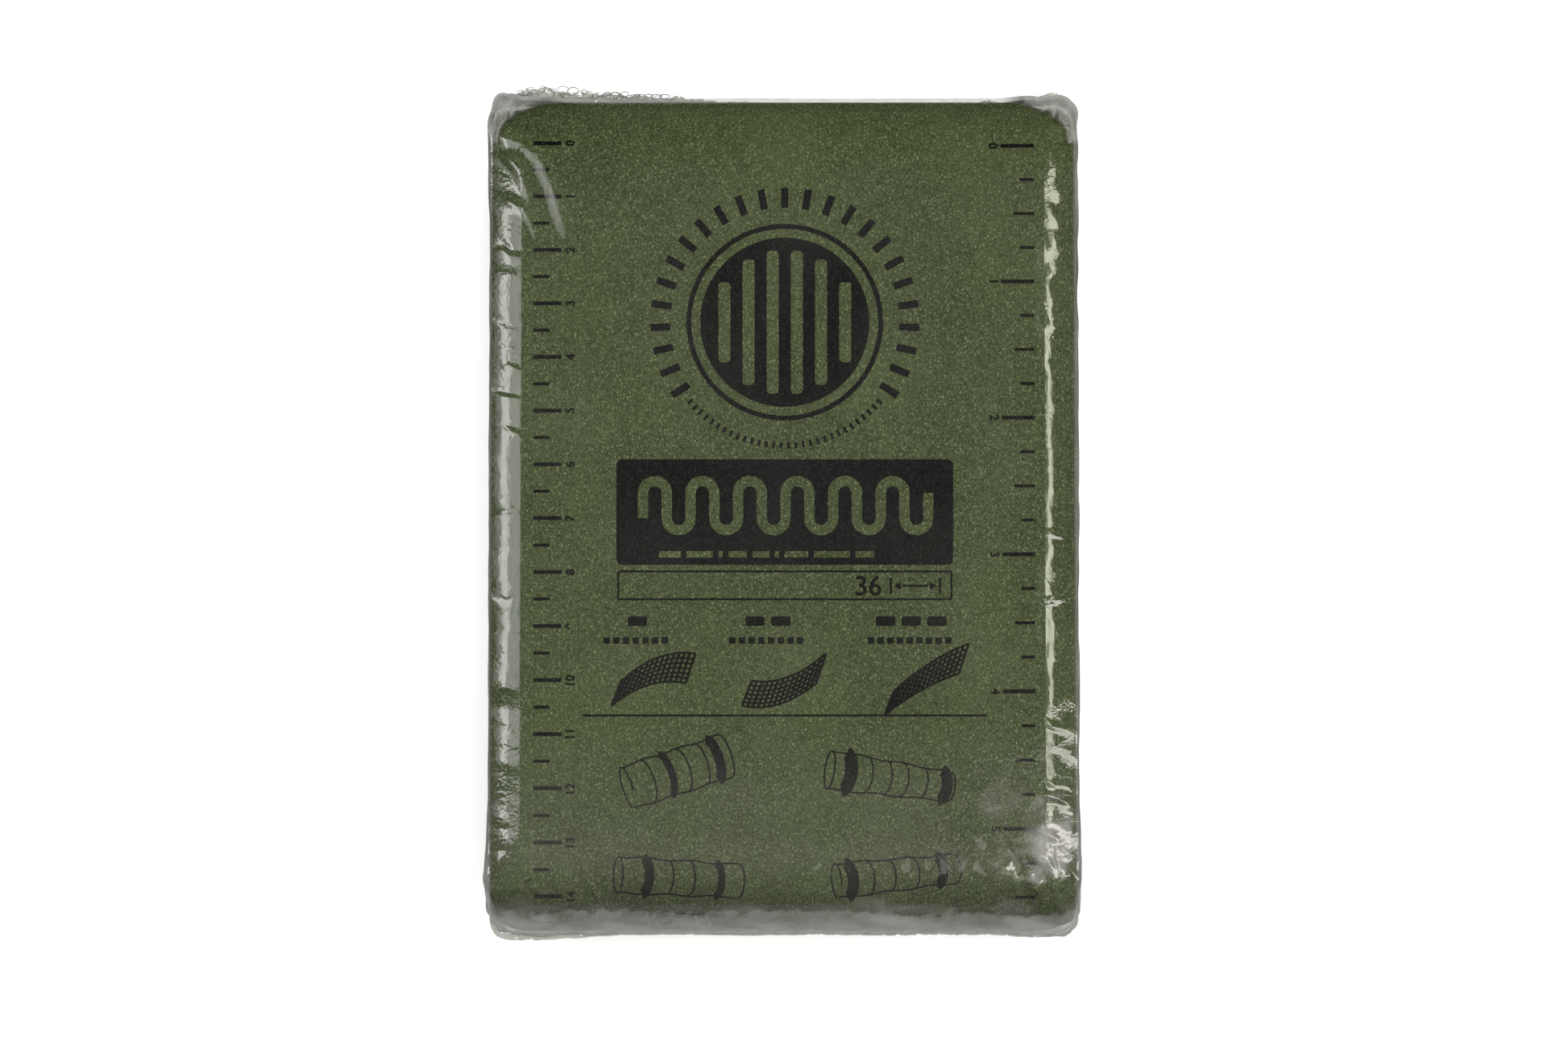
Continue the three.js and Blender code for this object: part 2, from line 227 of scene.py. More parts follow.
def fall(inset):
    # share of the edge drop: half straight, half square, over the edge band
    share = np.clip(1 - inset / roll["edgeBand"], 0, 1)
    return 0.5 * share + 0.5 * share * share


def endHalf(half, radius, distance):
    # half width in a rounded end: a quarter circle, then full width
    inside = np.clip(radius - distance, 0, radius)
    return half - radius + np.sqrt(radius * radius - inside * inside)


def outerLevel(across, distance, half, side=1):
    # face level less the drops of the long edge and of the end, joined as a hypotenuse
    toEnd = np.minimum(distance, pathLength - distance)
    turnIn = next(p for p in path if p["radius"] and abs(p["turn"] - math.pi) < 0.1)
    share = np.clip((distance - turnIn["start"]) / turnIn["length"], 0, 1)
    outer = roll["outerDrop"] + (roll["innerDrop"] - roll["outerDrop"]) * share
    sideDrop = outer if side > 0 else roll["innerDrop"]
    drop = np.hypot(sideDrop * fall(half - np.abs(across)), roll["endDrop"] * fall(toEnd))
    return np.maximum(bondLevel + roll["foam"] * roll["thinnest"], faceLevel - drop)


# Foam sheets
foamFinish = {
    "faceRows": 16,         # points across the flat part of a face, each side
    "stepFlat": 0.0026,     # sections along a flat layer
    "foldSteps": 40,        # sections in a half turn
    "endSteps": 14,         # sections in a rounded corner
    "rimShares": (0.08, 0.3, 0.6, 1.0),                 # sections in the rim of an end
    "bandShares": (0.16, 0.3, 0.45, 0.62, 0.8, 1.0),    # points across the edge band
    "rimLeft": 0.4,         # least thickness at the rim, as a share of it
    "dents": (3, 9, 0.02, 0.000015),    # soft unevenness: seed, waves, wavelength, height
}


def dents(across, distance, side=1):
    # unevenness of an outer face, different on the two sheets
    seed, waves, length, height = foamFinish["dents"]
    return height * ripple(across, distance, seed + side, waves, length)


def foamSections():
    # distances of the sections: even steps on the flats and in the folds, close at the ends
    marks = [np.zeros(1)]
    for piece in path:
        turned = piece["length"] / piece["radius"] if piece["radius"] else 0
        steps = max(
            round(foamFinish["foldSteps"] * turned / math.pi),
            round(piece["length"] / foamFinish["stepFlat"]) if not turned else 1,
        )
        marks.append(piece["start"] + piece["length"] * np.arange(1, steps + 1) / steps)
    ends = roll["endCorner"] * (1 - np.cos(np.linspace(0, math.pi / 2, foamFinish["endSteps"])))
    rims = roll["rim"] * np.array(foamFinish["rimShares"])
    marks += [ends, pathLength - ends, rims, pathLength - rims]
    return np.unique(np.round(np.concatenate(marks), 6))


def foamSheet(name, side):
    # profile carried along the path: a flat core face and an outer face that falls to the
    # edges, with a quarter-round rim; side 1 is outside the core, -1 inside it
    distance = foamSections()
    toEnd = np.minimum(distance, pathLength - distance)
    half = endHalf(halfWidth, roll["endCorner"], toEnd)
    rim = roll["rim"]
    insets = np.concatenate([
        rim * (1 - np.cos(np.linspace(0, math.pi / 2, 5))),
        np.array(foamFinish["bandShares"]) * roll["edgeBand"],
    ])
    middle = np.linspace(0, 1, foamFinish["faceRows"] + 1)[1:]
    # across positions of the right half: rim, band, then shares of what is left
    band = half[:, None] - insets[None, :]
    inner = band[:, -1:] * (1 - middle[None, :])
    right = np.concatenate([band, inner[:, :-1]], axis=1)
    across = np.concatenate([right, np.zeros((len(distance), 1)), -right[:, ::-1]], axis=1)
    far = np.broadcast_to(distance[:, None], across.shape)
    inset = half[:, None] - np.abs(across)
    sunk = np.clip(1 - inset / rim, 0, 1)
    endSunk = np.clip(1 - toEnd / rim, 0, 1)[:, None]
    rounding = rim * (1 - np.sqrt(1 - np.clip(sunk ** 2 + endSunk ** 2, 0, 1)))
    upper = outerLevel(across, far, half[:, None], side) - rounding
    # the dents fade out over the edge band
    flatShare = fall(roll["edgeBand"] - np.clip(inset, 0, roll["edgeBand"]))
    upper = upper + dents(across, far, side) * flatShare
    lower = np.full_like(across, roll["bond"] / 2)
    covered = (np.abs(across) < halfWidth - roll["coreMargin"]) & (
        toEnd[:, None] > roll["coreEndMargin"])
    lower = np.where(covered, bondLevel, lower)
    upper = np.maximum(upper, lower + rim * foamFinish["rimLeft"])
    columns = across.shape[1]
    loopAcross = np.concatenate([across, across[:, ::-1]], axis=1)
    loopLevel = np.concatenate([upper, lower[:, ::-1]], axis=1) * side
    points = placed(loopAcross, np.repeat(distance[:, None], 2 * columns, 1), loopLevel)
    index = numbered(loopAcross)
    walls = ringFaces(index[:-1], index[1:])
    caps = []
    for row, turned in ((0, True), (-1, False)):
        top, low = index[row, :columns], index[row, columns:][::-1]
        cap = np.stack([top[:-1], top[1:], low[1:], low[:-1]], axis=-1)
        caps.append(cap[:, ::-1] if turned else cap)
    faces = np.concatenate([walls, *caps])
    if side > 0:
        faces = faces[:, ::-1]
    return newMesh(name, points.reshape(-1, 3), faces)


# Helpers for materials; an input is a plain value or an output of another node
def node(tree, kind, values=None, **settings):
    # a new node: settings are its properties, values its inputs, set or linked
    made = tree.nodes.new(kind)
    for key, value in settings.items():
        setattr(made, key, value)
    for key, value in (values or {}).items():
        if isinstance(value, bpy.types.NodeSocket):
            tree.links.new(value, made.inputs[key])
        else:
            made.inputs[key].default_value = value
    return made


def mathNode(tree, operation, a, b, clamp=False):
    # one operation on two outputs or numbers, held to 0 and 1 by clamp
    made = node(tree, "ShaderNodeMath", {0: a, 1: b}, operation=operation, use_clamp=clamp)
    return made.outputs[0]


def weighted(tree, a, share, b, otherShare=None):
    # sum of two outputs, the first times its share, the second too where it has one
    if otherShare is not None:
        b = mathNode(tree, "MULTIPLY", b, otherShare)
    return mathNode(tree, "ADD", mathNode(tree, "MULTIPLY", a, share), b)


def ramp(tree, source, low, high):
    # smooth step of an output from low to high
    values = {"Value": source, "From Min": low, "From Max": high}
    made = node(tree, "ShaderNodeMapRange", values, interpolation_type="SMOOTHSTEP")
    return made.outputs["Result"]


def mixColour(tree, factor, a, b):
    # colour a at factor 0, b at factor 1
    return node(tree, "ShaderNodeMix", {0: factor, 6: a, 7: b}, data_type="RGBA").outputs[2]


def mixShader(tree, factor, a, b):
    # shader a at factor 0, b at factor 1
    return node(tree, "ShaderNodeMixShader", {0: factor, 1: a.outputs[0], 2: b.outputs[0]})


def objectPlace(tree):
    # position in the object's own frame, in metres
    return node(tree, "ShaderNodeTexCoord").outputs["Object"]


def stretched(tree, where, scale, turn=0.0):
    # a position scaled along x, y and z and turned round z
    values = {"Vector": where, "Scale": scale, "Rotation": (0, 0, turn)}
    return node(tree, "ShaderNodeMapping", values).outputs[0]


def noise(tree, where, look):
    # cloudy noise; the look is its scale, detail and roughness
    scale, detail, roughness = look
    values = {"Vector": where, "Scale": scale, "Detail": detail, "Roughness": roughness}
    return node(tree, "ShaderNodeTexNoise", values).outputs["Fac"]


def bumpNode(tree, height, strength, depth):
    # the surface's normal, tilted by the slope of the heights
    values = {"Height": height, "Strength": strength, "Distance": depth}
    return node(tree, "ShaderNodeBump", values).outputs["Normal"]


def attributeNode(tree, name):
    # a value stored on the mesh's points
    return node(tree, "ShaderNodeAttribute", attribute_name=name).outputs["Fac"]


def material(name):
    # an empty material and its node tree
    made = bpy.data.materials.new(name)
    made.use_nodes = True
    tree = made.node_tree
    tree.nodes.clear()
    return made, tree


def paintWith(tree, shader):
    # the shader goes to the material's surface
    tree.links.new(shader.outputs[0], tree.nodes.new("ShaderNodeOutputMaterial").inputs[0])


# Cells of the foam: noises as scale, detail and roughness, ranges as low and high
cellLook = {
    "cells": 2150.0, "stretch": (1.0, 0.72, 1.0),
    "fine": (3000.0, 1.5, 0.5), "broad": (330.0, 4.0, 0.6), "cloud": (48.0, 3.0, 0.55),
    "fleck": (0.50, 0.12),      # distances from a cell's middle: edge of its fleck, full
    "rarity": 1.6,              # power of a cell's own random value: higher leaves fewer bright
    "fineRange": (0.40, 0.66), "fineShare": 0.35,
    "broadShare": 0.35, "cloudShare": 0.65, "mottleRange": (0.34, 0.66),
    "bumpDistance": 0.0001,
}


def foamGrainGroup():
    # pale flecks, a soft mottle and heights for the bump, all on object coordinates
    tree = bpy.data.node_groups.new("foamGrain", "ShaderNodeTree")
    depth = tree.interface.new_socket(name="Depth", in_out="INPUT", socket_type="NodeSocketFloat")
    depth.default_value = 1.0
    for label in ("Flecks", "Mottle", "Height"):
        tree.interface.new_socket(name=label, in_out="OUTPUT", socket_type="NodeSocketFloat")
    where = objectPlace(tree)
    cells = node(tree, "ShaderNodeTexVoronoi", {
        "Vector": stretched(tree, where, cellLook["stretch"]),
        "Scale": cellLook["cells"], "Randomness": 1.0})
    fine, broad, cloud = (noise(tree, where, cellLook[name]) for name in ("fine", "broad", "cloud"))
    own = node(tree, "ShaderNodeSeparateColor", {"Color": cells.outputs["Color"]})
    bright = mathNode(tree, "POWER", own.outputs["Red"], cellLook["rarity"])
    dot = ramp(tree, cells.outputs["Distance"], *cellLook["fleck"])
    soft = ramp(tree, fine, *cellLook["fineRange"])
    soft = mathNode(tree, "MULTIPLY", soft, cellLook["fineShare"])
    flecks = mathNode(tree, "ADD", mathNode(tree, "MULTIPLY", dot, bright), soft, clamp=True)
    mottle = weighted(tree, broad, cellLook["broadShare"], cloud, cellLook["cloudShare"])
    height = mathNode(tree, "ADD", fine, cells.outputs["Distance"])
    given = tree.nodes.new("NodeGroupInput")
    node(tree, "NodeGroupOutput", {
        "Flecks": flecks, "Mottle": ramp(tree, mottle, *cellLook["mottleRange"]),
        "Height": mathNode(tree, "MULTIPLY", height, given.outputs["Depth"]),
    })
    return tree


foamGrain = foamGrainGroup()


def cellMaterial(name, look):
    # from dark to colour by the mottle, pale at the flecks
    made, tree = material(name)
    grain = node(tree, "ShaderNodeGroup", {"Depth": look["depth"]}, node_tree=foamGrain).outputs
    body = mixColour(tree, grain["Mottle"], look["dark"], look["colour"])
    paintWith(tree, node(tree, "ShaderNodeBsdfPrincipled", {
        "Base Color": mixColour(tree, grain["Flecks"], body, look["fleck"]),
        "Roughness": look["roughness"], "Specular IOR Level": look["specular"],
        "Normal": bumpNode(tree, grain["Height"], look["bump"], cellLook["bumpDistance"]),
    }))
    return made


foamLook = {
    "colour": (0.0365, 0.0500, 0.0150, 1),
    "dark": (0.0215, 0.031, 0.0078, 1),
    "fleck": (0.150, 0.174, 0.090, 1),
    "roughness": 0.75, "specular": 0.25,
    "depth": 1.0, "bump": 0.35,
}

foamPaint = cellMaterial("foam", foamLook)
foamOuter = foamSheet("foamOuter", 1)
foamInner = foamSheet("foamInner", -1)
for piece, cadNode in ((foamOuter, "foam_outer"), (foamInner, "foam_inner")):
    piece.data.materials.append(foamPaint)
    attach(piece, "root")
    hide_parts(cadNode)
print("stage: foam sheets", len(foamOuter.data.polygons))

# Aluminium core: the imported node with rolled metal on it
coreLook = {
    "colour": (0.76, 0.77, 0.78, 1), "line": (0.68, 0.69, 0.70, 1),
    "lines": (1800.0, 4.0, 0.5), "stretch": (1.0, 0.03, 1.0),
    "smoothest": 0.26, "roughest": 0.46,
    "bump": 0.2, "depth": 0.00005,
}


def coreMaterial():
    # fine rolled lines along the strip, from two greys, an uneven gloss and a slight bump
    made, tree = material("rolledAluminium")
    lines = noise(tree, stretched(tree, objectPlace(tree), coreLook["stretch"]), coreLook["lines"])
    rough = node(tree, "ShaderNodeMapRange", {
        "Value": lines, "To Min": coreLook["smoothest"], "To Max": coreLook["roughest"]})
    paintWith(tree, node(tree, "ShaderNodeBsdfPrincipled", {
        "Base Color": mixColour(tree, lines, coreLook["line"], coreLook["colour"]), "Metallic": 1.0,
        "Roughness": rough.outputs[0],
        "Normal": bumpNode(tree, lines, coreLook["bump"], coreLook["depth"]),
    }))
    return made


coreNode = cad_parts["aluminium_core"]
coreNode.data.materials.clear()
coreNode.data.materials.append(coreMaterial())

# View: where the camera stands over the top face, and how far its picture reaches
view = {
    "pictureWidth": 1946, "pictureHeight": 1297,
    "distance": 0.650,          # from the aim point on the top face
    "tiltDegrees": 2.5,         # towards the folded end
    "pixels": 4348.5,           # focal length in picture pixels
    "aimY": -0.00294,           # aim point, from the roll's middle
    "aimX": 0.00019,
}
sensorWidth = 36.0
tilt = math.radians(view["tiltDegrees"])
aim = rollMiddle + np.array([view["aimX"], view["aimY"], halfHeight])


def addCamera():
    # looks at the aim point from above, tilted towards the folded end; its lens is the focal
    # length in pixels over the picture's width, times the sensor's width
    data = bpy.data.cameras.new("camera")
    data.sensor_width = sensorWidth
    data.lens = view["pixels"] / view["pictureWidth"] * sensorWidth
    data.clip_start, data.clip_end = 0.01, 20
    camera = bpy.data.objects.new("camera", data)
    back = np.array([0, -math.sin(tilt), math.cos(tilt)])
    camera.location = aim + view["distance"] * back
    camera.rotation_euler = (tilt, 0, 0)
    bpy.context.scene.collection.objects.link(camera)
    bpy.context.scene.camera = camera


addCamera()


def fromPicture(px, py):
    # picture pixels to across and along, from the roll's middle, on the plane of the top face
    down = py - view["pictureHeight"] / 2
    up = -down * view["distance"] / (
        view["pixels"] * math.cos(tilt) + down * math.sin(tilt))
    depth = view["distance"] + up * math.sin(tilt)
    across = (px - view["pictureWidth"] / 2) * depth / view["pixels"] + view["aimX"]
    return across, up + view["aimY"]


def ontoPath(along):
    # distance along the path of a place seen from above: straight on the flat part, by the
    # arcsine of its share of the radius where the face turns down at both ends
    turns = ((1, freeEnd, flapRadius), (-1, foldEnd, (roll["layers"] - 1) * pitch / 2))
    distance = topStart + freeEnd - np.clip(along, foldEnd, freeEnd)
    for way, end, radius in turns:
        share = np.clip(way * (along - end) / (radius + faceLevel), 0, 0.99)
        distance = distance - way * radius * np.arcsin(share)
    return distance


# Print: thin ink slabs laid on the outer foam face
ink = {
    "low": 0.00002,         # underside and top of the ink over the foam
    "high": 0.00006,
    "line": 2.0,            # drawing line, in picture pixels
}


def outline(points):
    # corners as an array
    return np.asarray(points, float)


def box(x0, y0, x1, y1, corner=0.0):
    # rectangle with round corners, as one closed outline
    if corner == 0:
        return outline([(x0, y0), (x1, y0), (x1, y1), (x0, y1)])
    angle = np.linspace(0, math.pi / 2, 7)
    quarter = np.stack([np.sin(angle), -np.cos(angle)], -1) * corner
    parts = []
    for turn, (cx, cy) in enumerate((
            (x1 - corner, y0 + corner), (x1 - corner, y1 - corner),
            (x0 + corner, y1 - corner), (x0 + corner, y0 + corner))):
        parts.append(quarter @ spin(turn * math.pi / 2) + (cx, cy))
    return np.concatenate(parts)


def circle(cx, cy, radius, steps=96):
    # points at even angles round a centre
    angle = np.linspace(0, 2 * math.pi, steps, endpoint=False)
    return np.stack([cx + radius * np.cos(angle), cy + radius * np.sin(angle)], -1)


def arcLine(cx, cy, radius, fromDegrees, toDegrees, squash=1.0, steps=24):
    # points on an arc, angles clockwise from the right as the picture's y looks down
    angle = np.radians(np.linspace(fromDegrees, toDegrees, steps))
    return np.stack([cx + radius * np.cos(angle), cy + squash * radius * np.sin(angle)], -1)


def stroke(points, width):
    # a line of even width: the polyline moved half a width to either side, joined up
    points = outline(points)
    step = np.gradient(points, axis=0)
    step /= np.linalg.norm(step, axis=1, keepdims=True)
    side = np.stack([-step[:, 1], step[:, 0]], -1) * width / 2
    return np.concatenate([points + side, (points - side)[::-1]])


def ringLine(cx, cy, radius, width):
    # a ring of even width: circles half a width outside and inside its radius
    return [circle(cx, cy, radius + width / 2), circle(cx, cy, radius - width / 2)]


def fillShapes(outlines):
    # closed outlines filled by the even-odd rule, as a thin slab
    curve = bpy.data.curves.new("ink", "CURVE")
    curve.dimensions = "2D"
    curve.fill_mode = "BOTH"
    curve.extrude = 1.0
    for points in outlines:
        spline = curve.splines.new("POLY")
        spline.points.add(len(points) - 1)
        flat = np.zeros((len(points), 4))
        flat[:, 0], flat[:, 1], flat[:, 3] = points[:, 0], -points[:, 1], 1
        spline.points.foreach_set("co", flat.ravel())
        spline.use_cyclic_u = True
    return takeMesh(curve)


def takeMesh(curve):
    # the curve or text as arrays of points and triangles
    holder = bpy.data.objects.new("ink", curve)
    bpy.context.scene.collection.objects.link(holder)
    mesh = holder.evaluated_get(bpy.context.evaluated_depsgraph_get()).to_mesh()
    mesh.calc_loop_triangles()
    points = np.zeros(len(mesh.vertices) * 3)
    mesh.vertices.foreach_get("co", points)
    corners = np.zeros(len(mesh.loop_triangles) * 3, int)
    mesh.loop_triangles.foreach_get("vertices", corners)
    bpy.data.objects.remove(holder)
    bpy.data.curves.remove(curve)
    return points.reshape(-1, 3), corners.reshape(-1, 3)


digitShare = 0.7            # height of a digit, as a share of the text size


def number(text, cx, cy, height, turn=0, bold=0.03):
    # a plain number centred on a pixel, turned by quarter turns, counter-clockwise
    curve = bpy.data.curves.new("number", "FONT")
    curve.body = text
    curve.extrude = 0.5
    curve.offset = bold
    points, faces = takeMesh(curve)
    low, high = points.min(0), points.max(0)
    scale = height / digitShare
    points = points - (low + high) / 2
    flat = points[:, :2] * scale @ spin(turn * math.pi / 2)
    turned = np.stack([flat[:, 0] + cx, flat[:, 1] - cy, np.sign(points[:, 2])], -1)
    return turned, faces


def layInk(name, shapes):
    # picture pixels to the foam's outer face: across stays, down runs along the path
    placedParts, faceParts, count = [], [], 0
    for points, faces in shapes:
        across, along = fromPicture(points[:, 0], -points[:, 1])
        distance = ontoPath(along)
        half = endHalf(halfWidth, roll["endCorner"], np.minimum(distance, pathLength - distance))
        lift = np.where(points[:, 2] > 0, ink["high"], ink["low"])
        level = outerLevel(across, distance, half) + lift + dents(across, distance)
        placedParts.append(placed(across, distance, level))
        faceParts.append(faces + count)
        count += len(points)
    return newMesh(name, np.concatenate(placedParts), np.concatenate(faceParts), smooth=False)


# black ink with the foam's grain showing through as pale specks
inkLook = {
    "colour": (0.0022, 0.0022, 0.0021, 1), "dark": (0.0022, 0.0022, 0.0021, 1),
    "fleck": (0.020, 0.020, 0.019, 1),
    "roughness": 0.7, "specular": 0.08,
    "depth": 1.0, "bump": 0.3,
}

# rulers: picture x of the marks; their places along the splint are whole centimetres and inches
ruler = {
    "centimetreZero": 0.0708, "inchZero": 0.0703,     # from the aim point
    "centimetreX": (662, 697, 682, 707.5),            # start, long end, half end, number
    "inchX": (1242, 1257, 1265, 1283, 1232.5),        # inch, half, quarter start, end, number
    "halves": 30, "quarters": 23,
    "thick": 4.8, "thin": 3.9,
    "leanStart": 0.18, "leanEnd": 0.12,               # the inch ruler leans: pixels per mark
    "digit": 10.5,
}


def pictureRow(up):
    # picture y of a place on the top plane, the other way round from fromPicture
    return view["pictureHeight"] / 2 - up * view["pixels"] * math.cos(tilt) / (
        view["distance"] + up * math.sin(tilt))


def rulerShapes():
    # marks every half centimetre and quarter inch, with numbers at the whole ones
    ticks, numbers = [], []
    start, longEnd, halfEnd, numberX = ruler["centimetreX"]
    for half in range(ruler["halves"]):
        y = pictureRow(ruler["centimetreZero"] - half * 0.01 / 2)
        whole = half % 2 == 0
        thick = ruler["thick"] if whole else ruler["thin"]
        ticks.append(box(start, y - thick / 2, longEnd if whole else halfEnd, y + thick / 2))
        if whole:
            numbers.append(number(str(half // 2), numberX, y, ruler["digit"], turn=1))
    inch, halfStart, quarterStart, end, numberX = ruler["inchX"]
    for quarter in range(ruler["quarters"]):
        y = pictureRow(ruler["inchZero"] - quarter * 0.0254 / 4)
        first = (inch, quarterStart, halfStart, quarterStart)[quarter % 4]
        thick = ruler["thin"] if quarter % 4 else ruler["thick"]
        lean, endLean = quarter * ruler["leanStart"], quarter * ruler["leanEnd"]
        ticks.append(box(first + lean, y - thick / 2, end + endLean, y + thick / 2))
        if quarter % 4 == 0:
            numbers.append(number(str(quarter // 4), numberX + lean, y, ruler["digit"], turn=-1))
    return [fillShapes(ticks), *numbers]


badge = {
    "centre": (974, 400), "disc": 105, "ring": 119, "ringLine": 6,
    "barX": (-75, -45, -15, 15, 45, 75), "bar": 15, "barReach": 90, "barCorner": 5,
    # rays: count, degrees from and to, near and far radius, width
    "marks": (25, 147, 393, 142, 167, 9), "dots": (30, 40, 140, 149, 157, 3.6),
}


def badgeShapes():
    # a disc in a ring, upright bars knocked out as long as their chords, and rays round it
    cx, cy = badge["centre"]
    shapes = [circle(cx, cy, badge["disc"]), *ringLine(cx, cy, badge["ring"], badge["ringLine"])]
    for x in badge["barX"]:
        reach, half = math.sqrt(badge["barReach"] ** 2 - x * x), badge["bar"] / 2
        shapes.append(box(cx + x - half, cy - reach, cx + x + half, cy + reach, badge["barCorner"]))
    for count, start, stop, near, far, width in (badge["marks"], badge["dots"]):
        for angle in np.radians(np.linspace(start, stop, count)):
            way = np.array([math.cos(angle), math.sin(angle)])
            shapes.append(stroke([way * near + (cx, cy), way * far + (cx, cy)], width))
    return [fillShapes(shapes)]


panel = {
    "edge": (765, 570, 1183, 701), "corner": 7,
    "top": 597, "bottom": 658, "runs": 13, "from": 798, "to": 1152, "line": 13,
    "dashes": (34, 40, 12, 30, 28, 12, 36, 52, 30), "dashRow": (818, 684, 692, 7),
    "frame": ((766, 708, 1182, 745, 3), (768.5, 710.5, 1179.5, 742.5, 2)),
    "number": ("36", 1078, 727, 24),
    "bars": ((1104, 717, 1107, 737), (1165, 717, 1168, 737), (1120, 725.6, 1152, 728.4)),
    "tips": (((1109, 727), (1118, 722), (1118, 732)), ((1163, 727), (1154, 732), (1154, 722))),
}


def dashes(lengths, row):
    # dashes side by side; the row is where they start, their top and bottom, and the gap
    x, top, bottom, gap = row
    ends = x + np.cumsum(lengths)
    return [box(end - length, top, end - gap, bottom) for end, length in zip(ends, lengths)]


def panelShapes():
    # a black panel with a folded sheet in section knocked out of it, and a row of dashes
    x0, y0, x1, y1 = panel["edge"]
    gap = (panel["to"] - panel["from"]) / (panel["runs"] - 1)
    line = []
    for run in range(panel["runs"]):
        x = panel["from"] + gap * run
        ends = [(x, panel["bottom"] - gap / 2), (x, panel["top"] + gap / 2)]
        line += ends if run % 2 == 0 else ends[::-1]
        if run < panel["runs"] - 1:
            over = run % 2 == 0
            cy = panel["top"] + gap / 2 if over else panel["bottom"] - gap / 2
            angles = (180, 360) if over else (180, 0)
            line += [tuple(p) for p in arcLine(x + gap / 2, cy, gap / 2, *angles, steps=12)[1:-1]]
    shapes = [box(x0, y0, x1, y1, panel["corner"]), stroke(line, panel["line"])]
    shapes += dashes(panel["dashes"], panel["dashRow"])
    shapes += [box(*edge) for edge in panel["frame"]]
    # a double arrow between two bars
    arrow = [box(*bar) for bar in panel["bars"]] + [outline(tip) for tip in panel["tips"]]
    return [fillShapes(shapes), fillShapes(arrow), number(*panel["number"], bold=0.012)]


# sketches, in picture pixels
sketch = {
    # small sheets in plan: middle and count of each group, then width, gap, top, bottom, corner
    "groups": ((791, 1), (953, 2), (1131, 3)), "sheet": (24, 8, 765, 777, 3),
    "dotRow": (12, 4, 791, 799),            # dots below them: pitch, gap, top and bottom
    "rule": (724, 886.7, 1225, 889.3),
    # bent sheets: middle, rise and curl of the near edge
    "bent": ((805, -14, 12), (967, -14, -12), (1144, -26, 6)),
    "half": 46, "level": 862, "far": (12, -34, -3),     # half width, height, way to the far edge
    "edge": 2.6, "rib": 3.0, "row": 2.4,    # line widths
    "ribs": 15, "rows": (0.16, 0.32, 0.48, 0.64, 0.82),
    # wrapped tubes: middle, length, radius, degrees, taper, bands as place and line width
    "tubes": (
        (840, 958, 128, 27, -18, 0.0, ((-0.3, 2), (-0.12, 9), (0.06, 2), (0.24, 2), (0.36, 12))),
        (1104, 966, 150, 24, 8, 0.25,
         ((-0.38, 16), (-0.2, 2), (-0.04, 2), (0.1, 2), (0.26, 2), (0.42, 14))),
        (842, 1090, 150, 23, 3, 0.1, ((-0.3, 12), (-0.1, 2), (0.08, 2), (0.3, 9))),
        (1112, 1086, 148, 22, -6, 0.2,
         ((-0.42, 14), (-0.24, 2), (-0.06, 2), (0.14, 2), (0.34, 12))),
    ),
    "wave": 1.2, "waves": 17, "cap": 7, "mouth": 6, "bulge": 9,     # of a tube
    "caption": (18, 12, 34, 9, 22, 30, 14, 26),
    "captionRows": ((740, 1135, 1141.5, 4), (743, 1147, 1152.5, 5)),
}


def pair(x, y):
    # x and y as rows of points
    return np.stack([x, y], -1)


def sketchShapes():
    # three hatched sheets, each bent another way, and a rule
    solids, lines = [], []
    wide, gap, top, bottom, corner = sketch["sheet"]
    pitchX, dotGap, dotTop, dotBottom = sketch["dotRow"]
    for middle, count in sketch["groups"]:
        left = middle - (count * wide + (count - 1) * gap) / 2
        for x in left + (wide + gap) * np.arange(count):
            solids.append(box(x, top, x + wide, bottom, corner))
        dots = 6 + count
        for x in middle - dots * pitchX / 2 + pitchX * np.arange(dots):
            lines.append(box(x, dotTop, x + pitchX - dotGap, dotBottom))
    solids.append(box(*sketch["rule"]))
    across = np.linspace(-1, 1, sketch["ribs"])
    farX, farY, farTurn = sketch["far"]
    for middle, rise, curl in sketch["bent"]:
        near = pair(middle + sketch["half"] * across,
                    sketch["level"] + rise * across + curl * (across ** 2 - 1))
        far = pair(near[:, 0] + farX, near[:, 1] + farY + farTurn * across)
        lines += [stroke(near, sketch["edge"]), stroke(far, sketch["edge"])]
        lines += [stroke(ends, sketch["rib"]) for ends in zip(near, far)]
        lines += [stroke(near + (far - near) * share, sketch["row"]) for share in sketch["rows"]]
    return solids, lines


def tube(cx, cy, length, radius, degrees, taper, bands):
    # a wrapped tube in outline: two sides, an open end, a closed end and slanted bands
    turn = spin(math.radians(degrees))
    t = np.linspace(-0.5, 0.5, 20)
    side = radius * (1 - taper * (t + 0.5)) + sketch["wave"] * np.sin(t * sketch["waves"])
    angle = np.linspace(-math.pi / 2, math.pi / 2, 14)
    cap = pair(0.5 * length + sketch["cap"] * np.cos(angle), radius * (1 - taper) * np.sin(angle))
    mouth = circle(0, 0, 1, 28) * (sketch["mouth"], radius) + (-0.5 * length, 0)
    mouth = np.concatenate([mouth, mouth[:2]])
    sides = pair(t * length, side), pair(t * length, -side)
    parts = [(line, ink["line"]) for line in (*sides, cap, mouth)]
    for share, wide in bands:
        r = radius * (1 - taper * (share + 0.5))
        band = pair(share * length + sketch["bulge"] * np.cos(angle), r * np.sin(angle))
        parts.append((band, wide))
    return [stroke(line @ turn + (cx, cy), wide) for line, wide in parts]


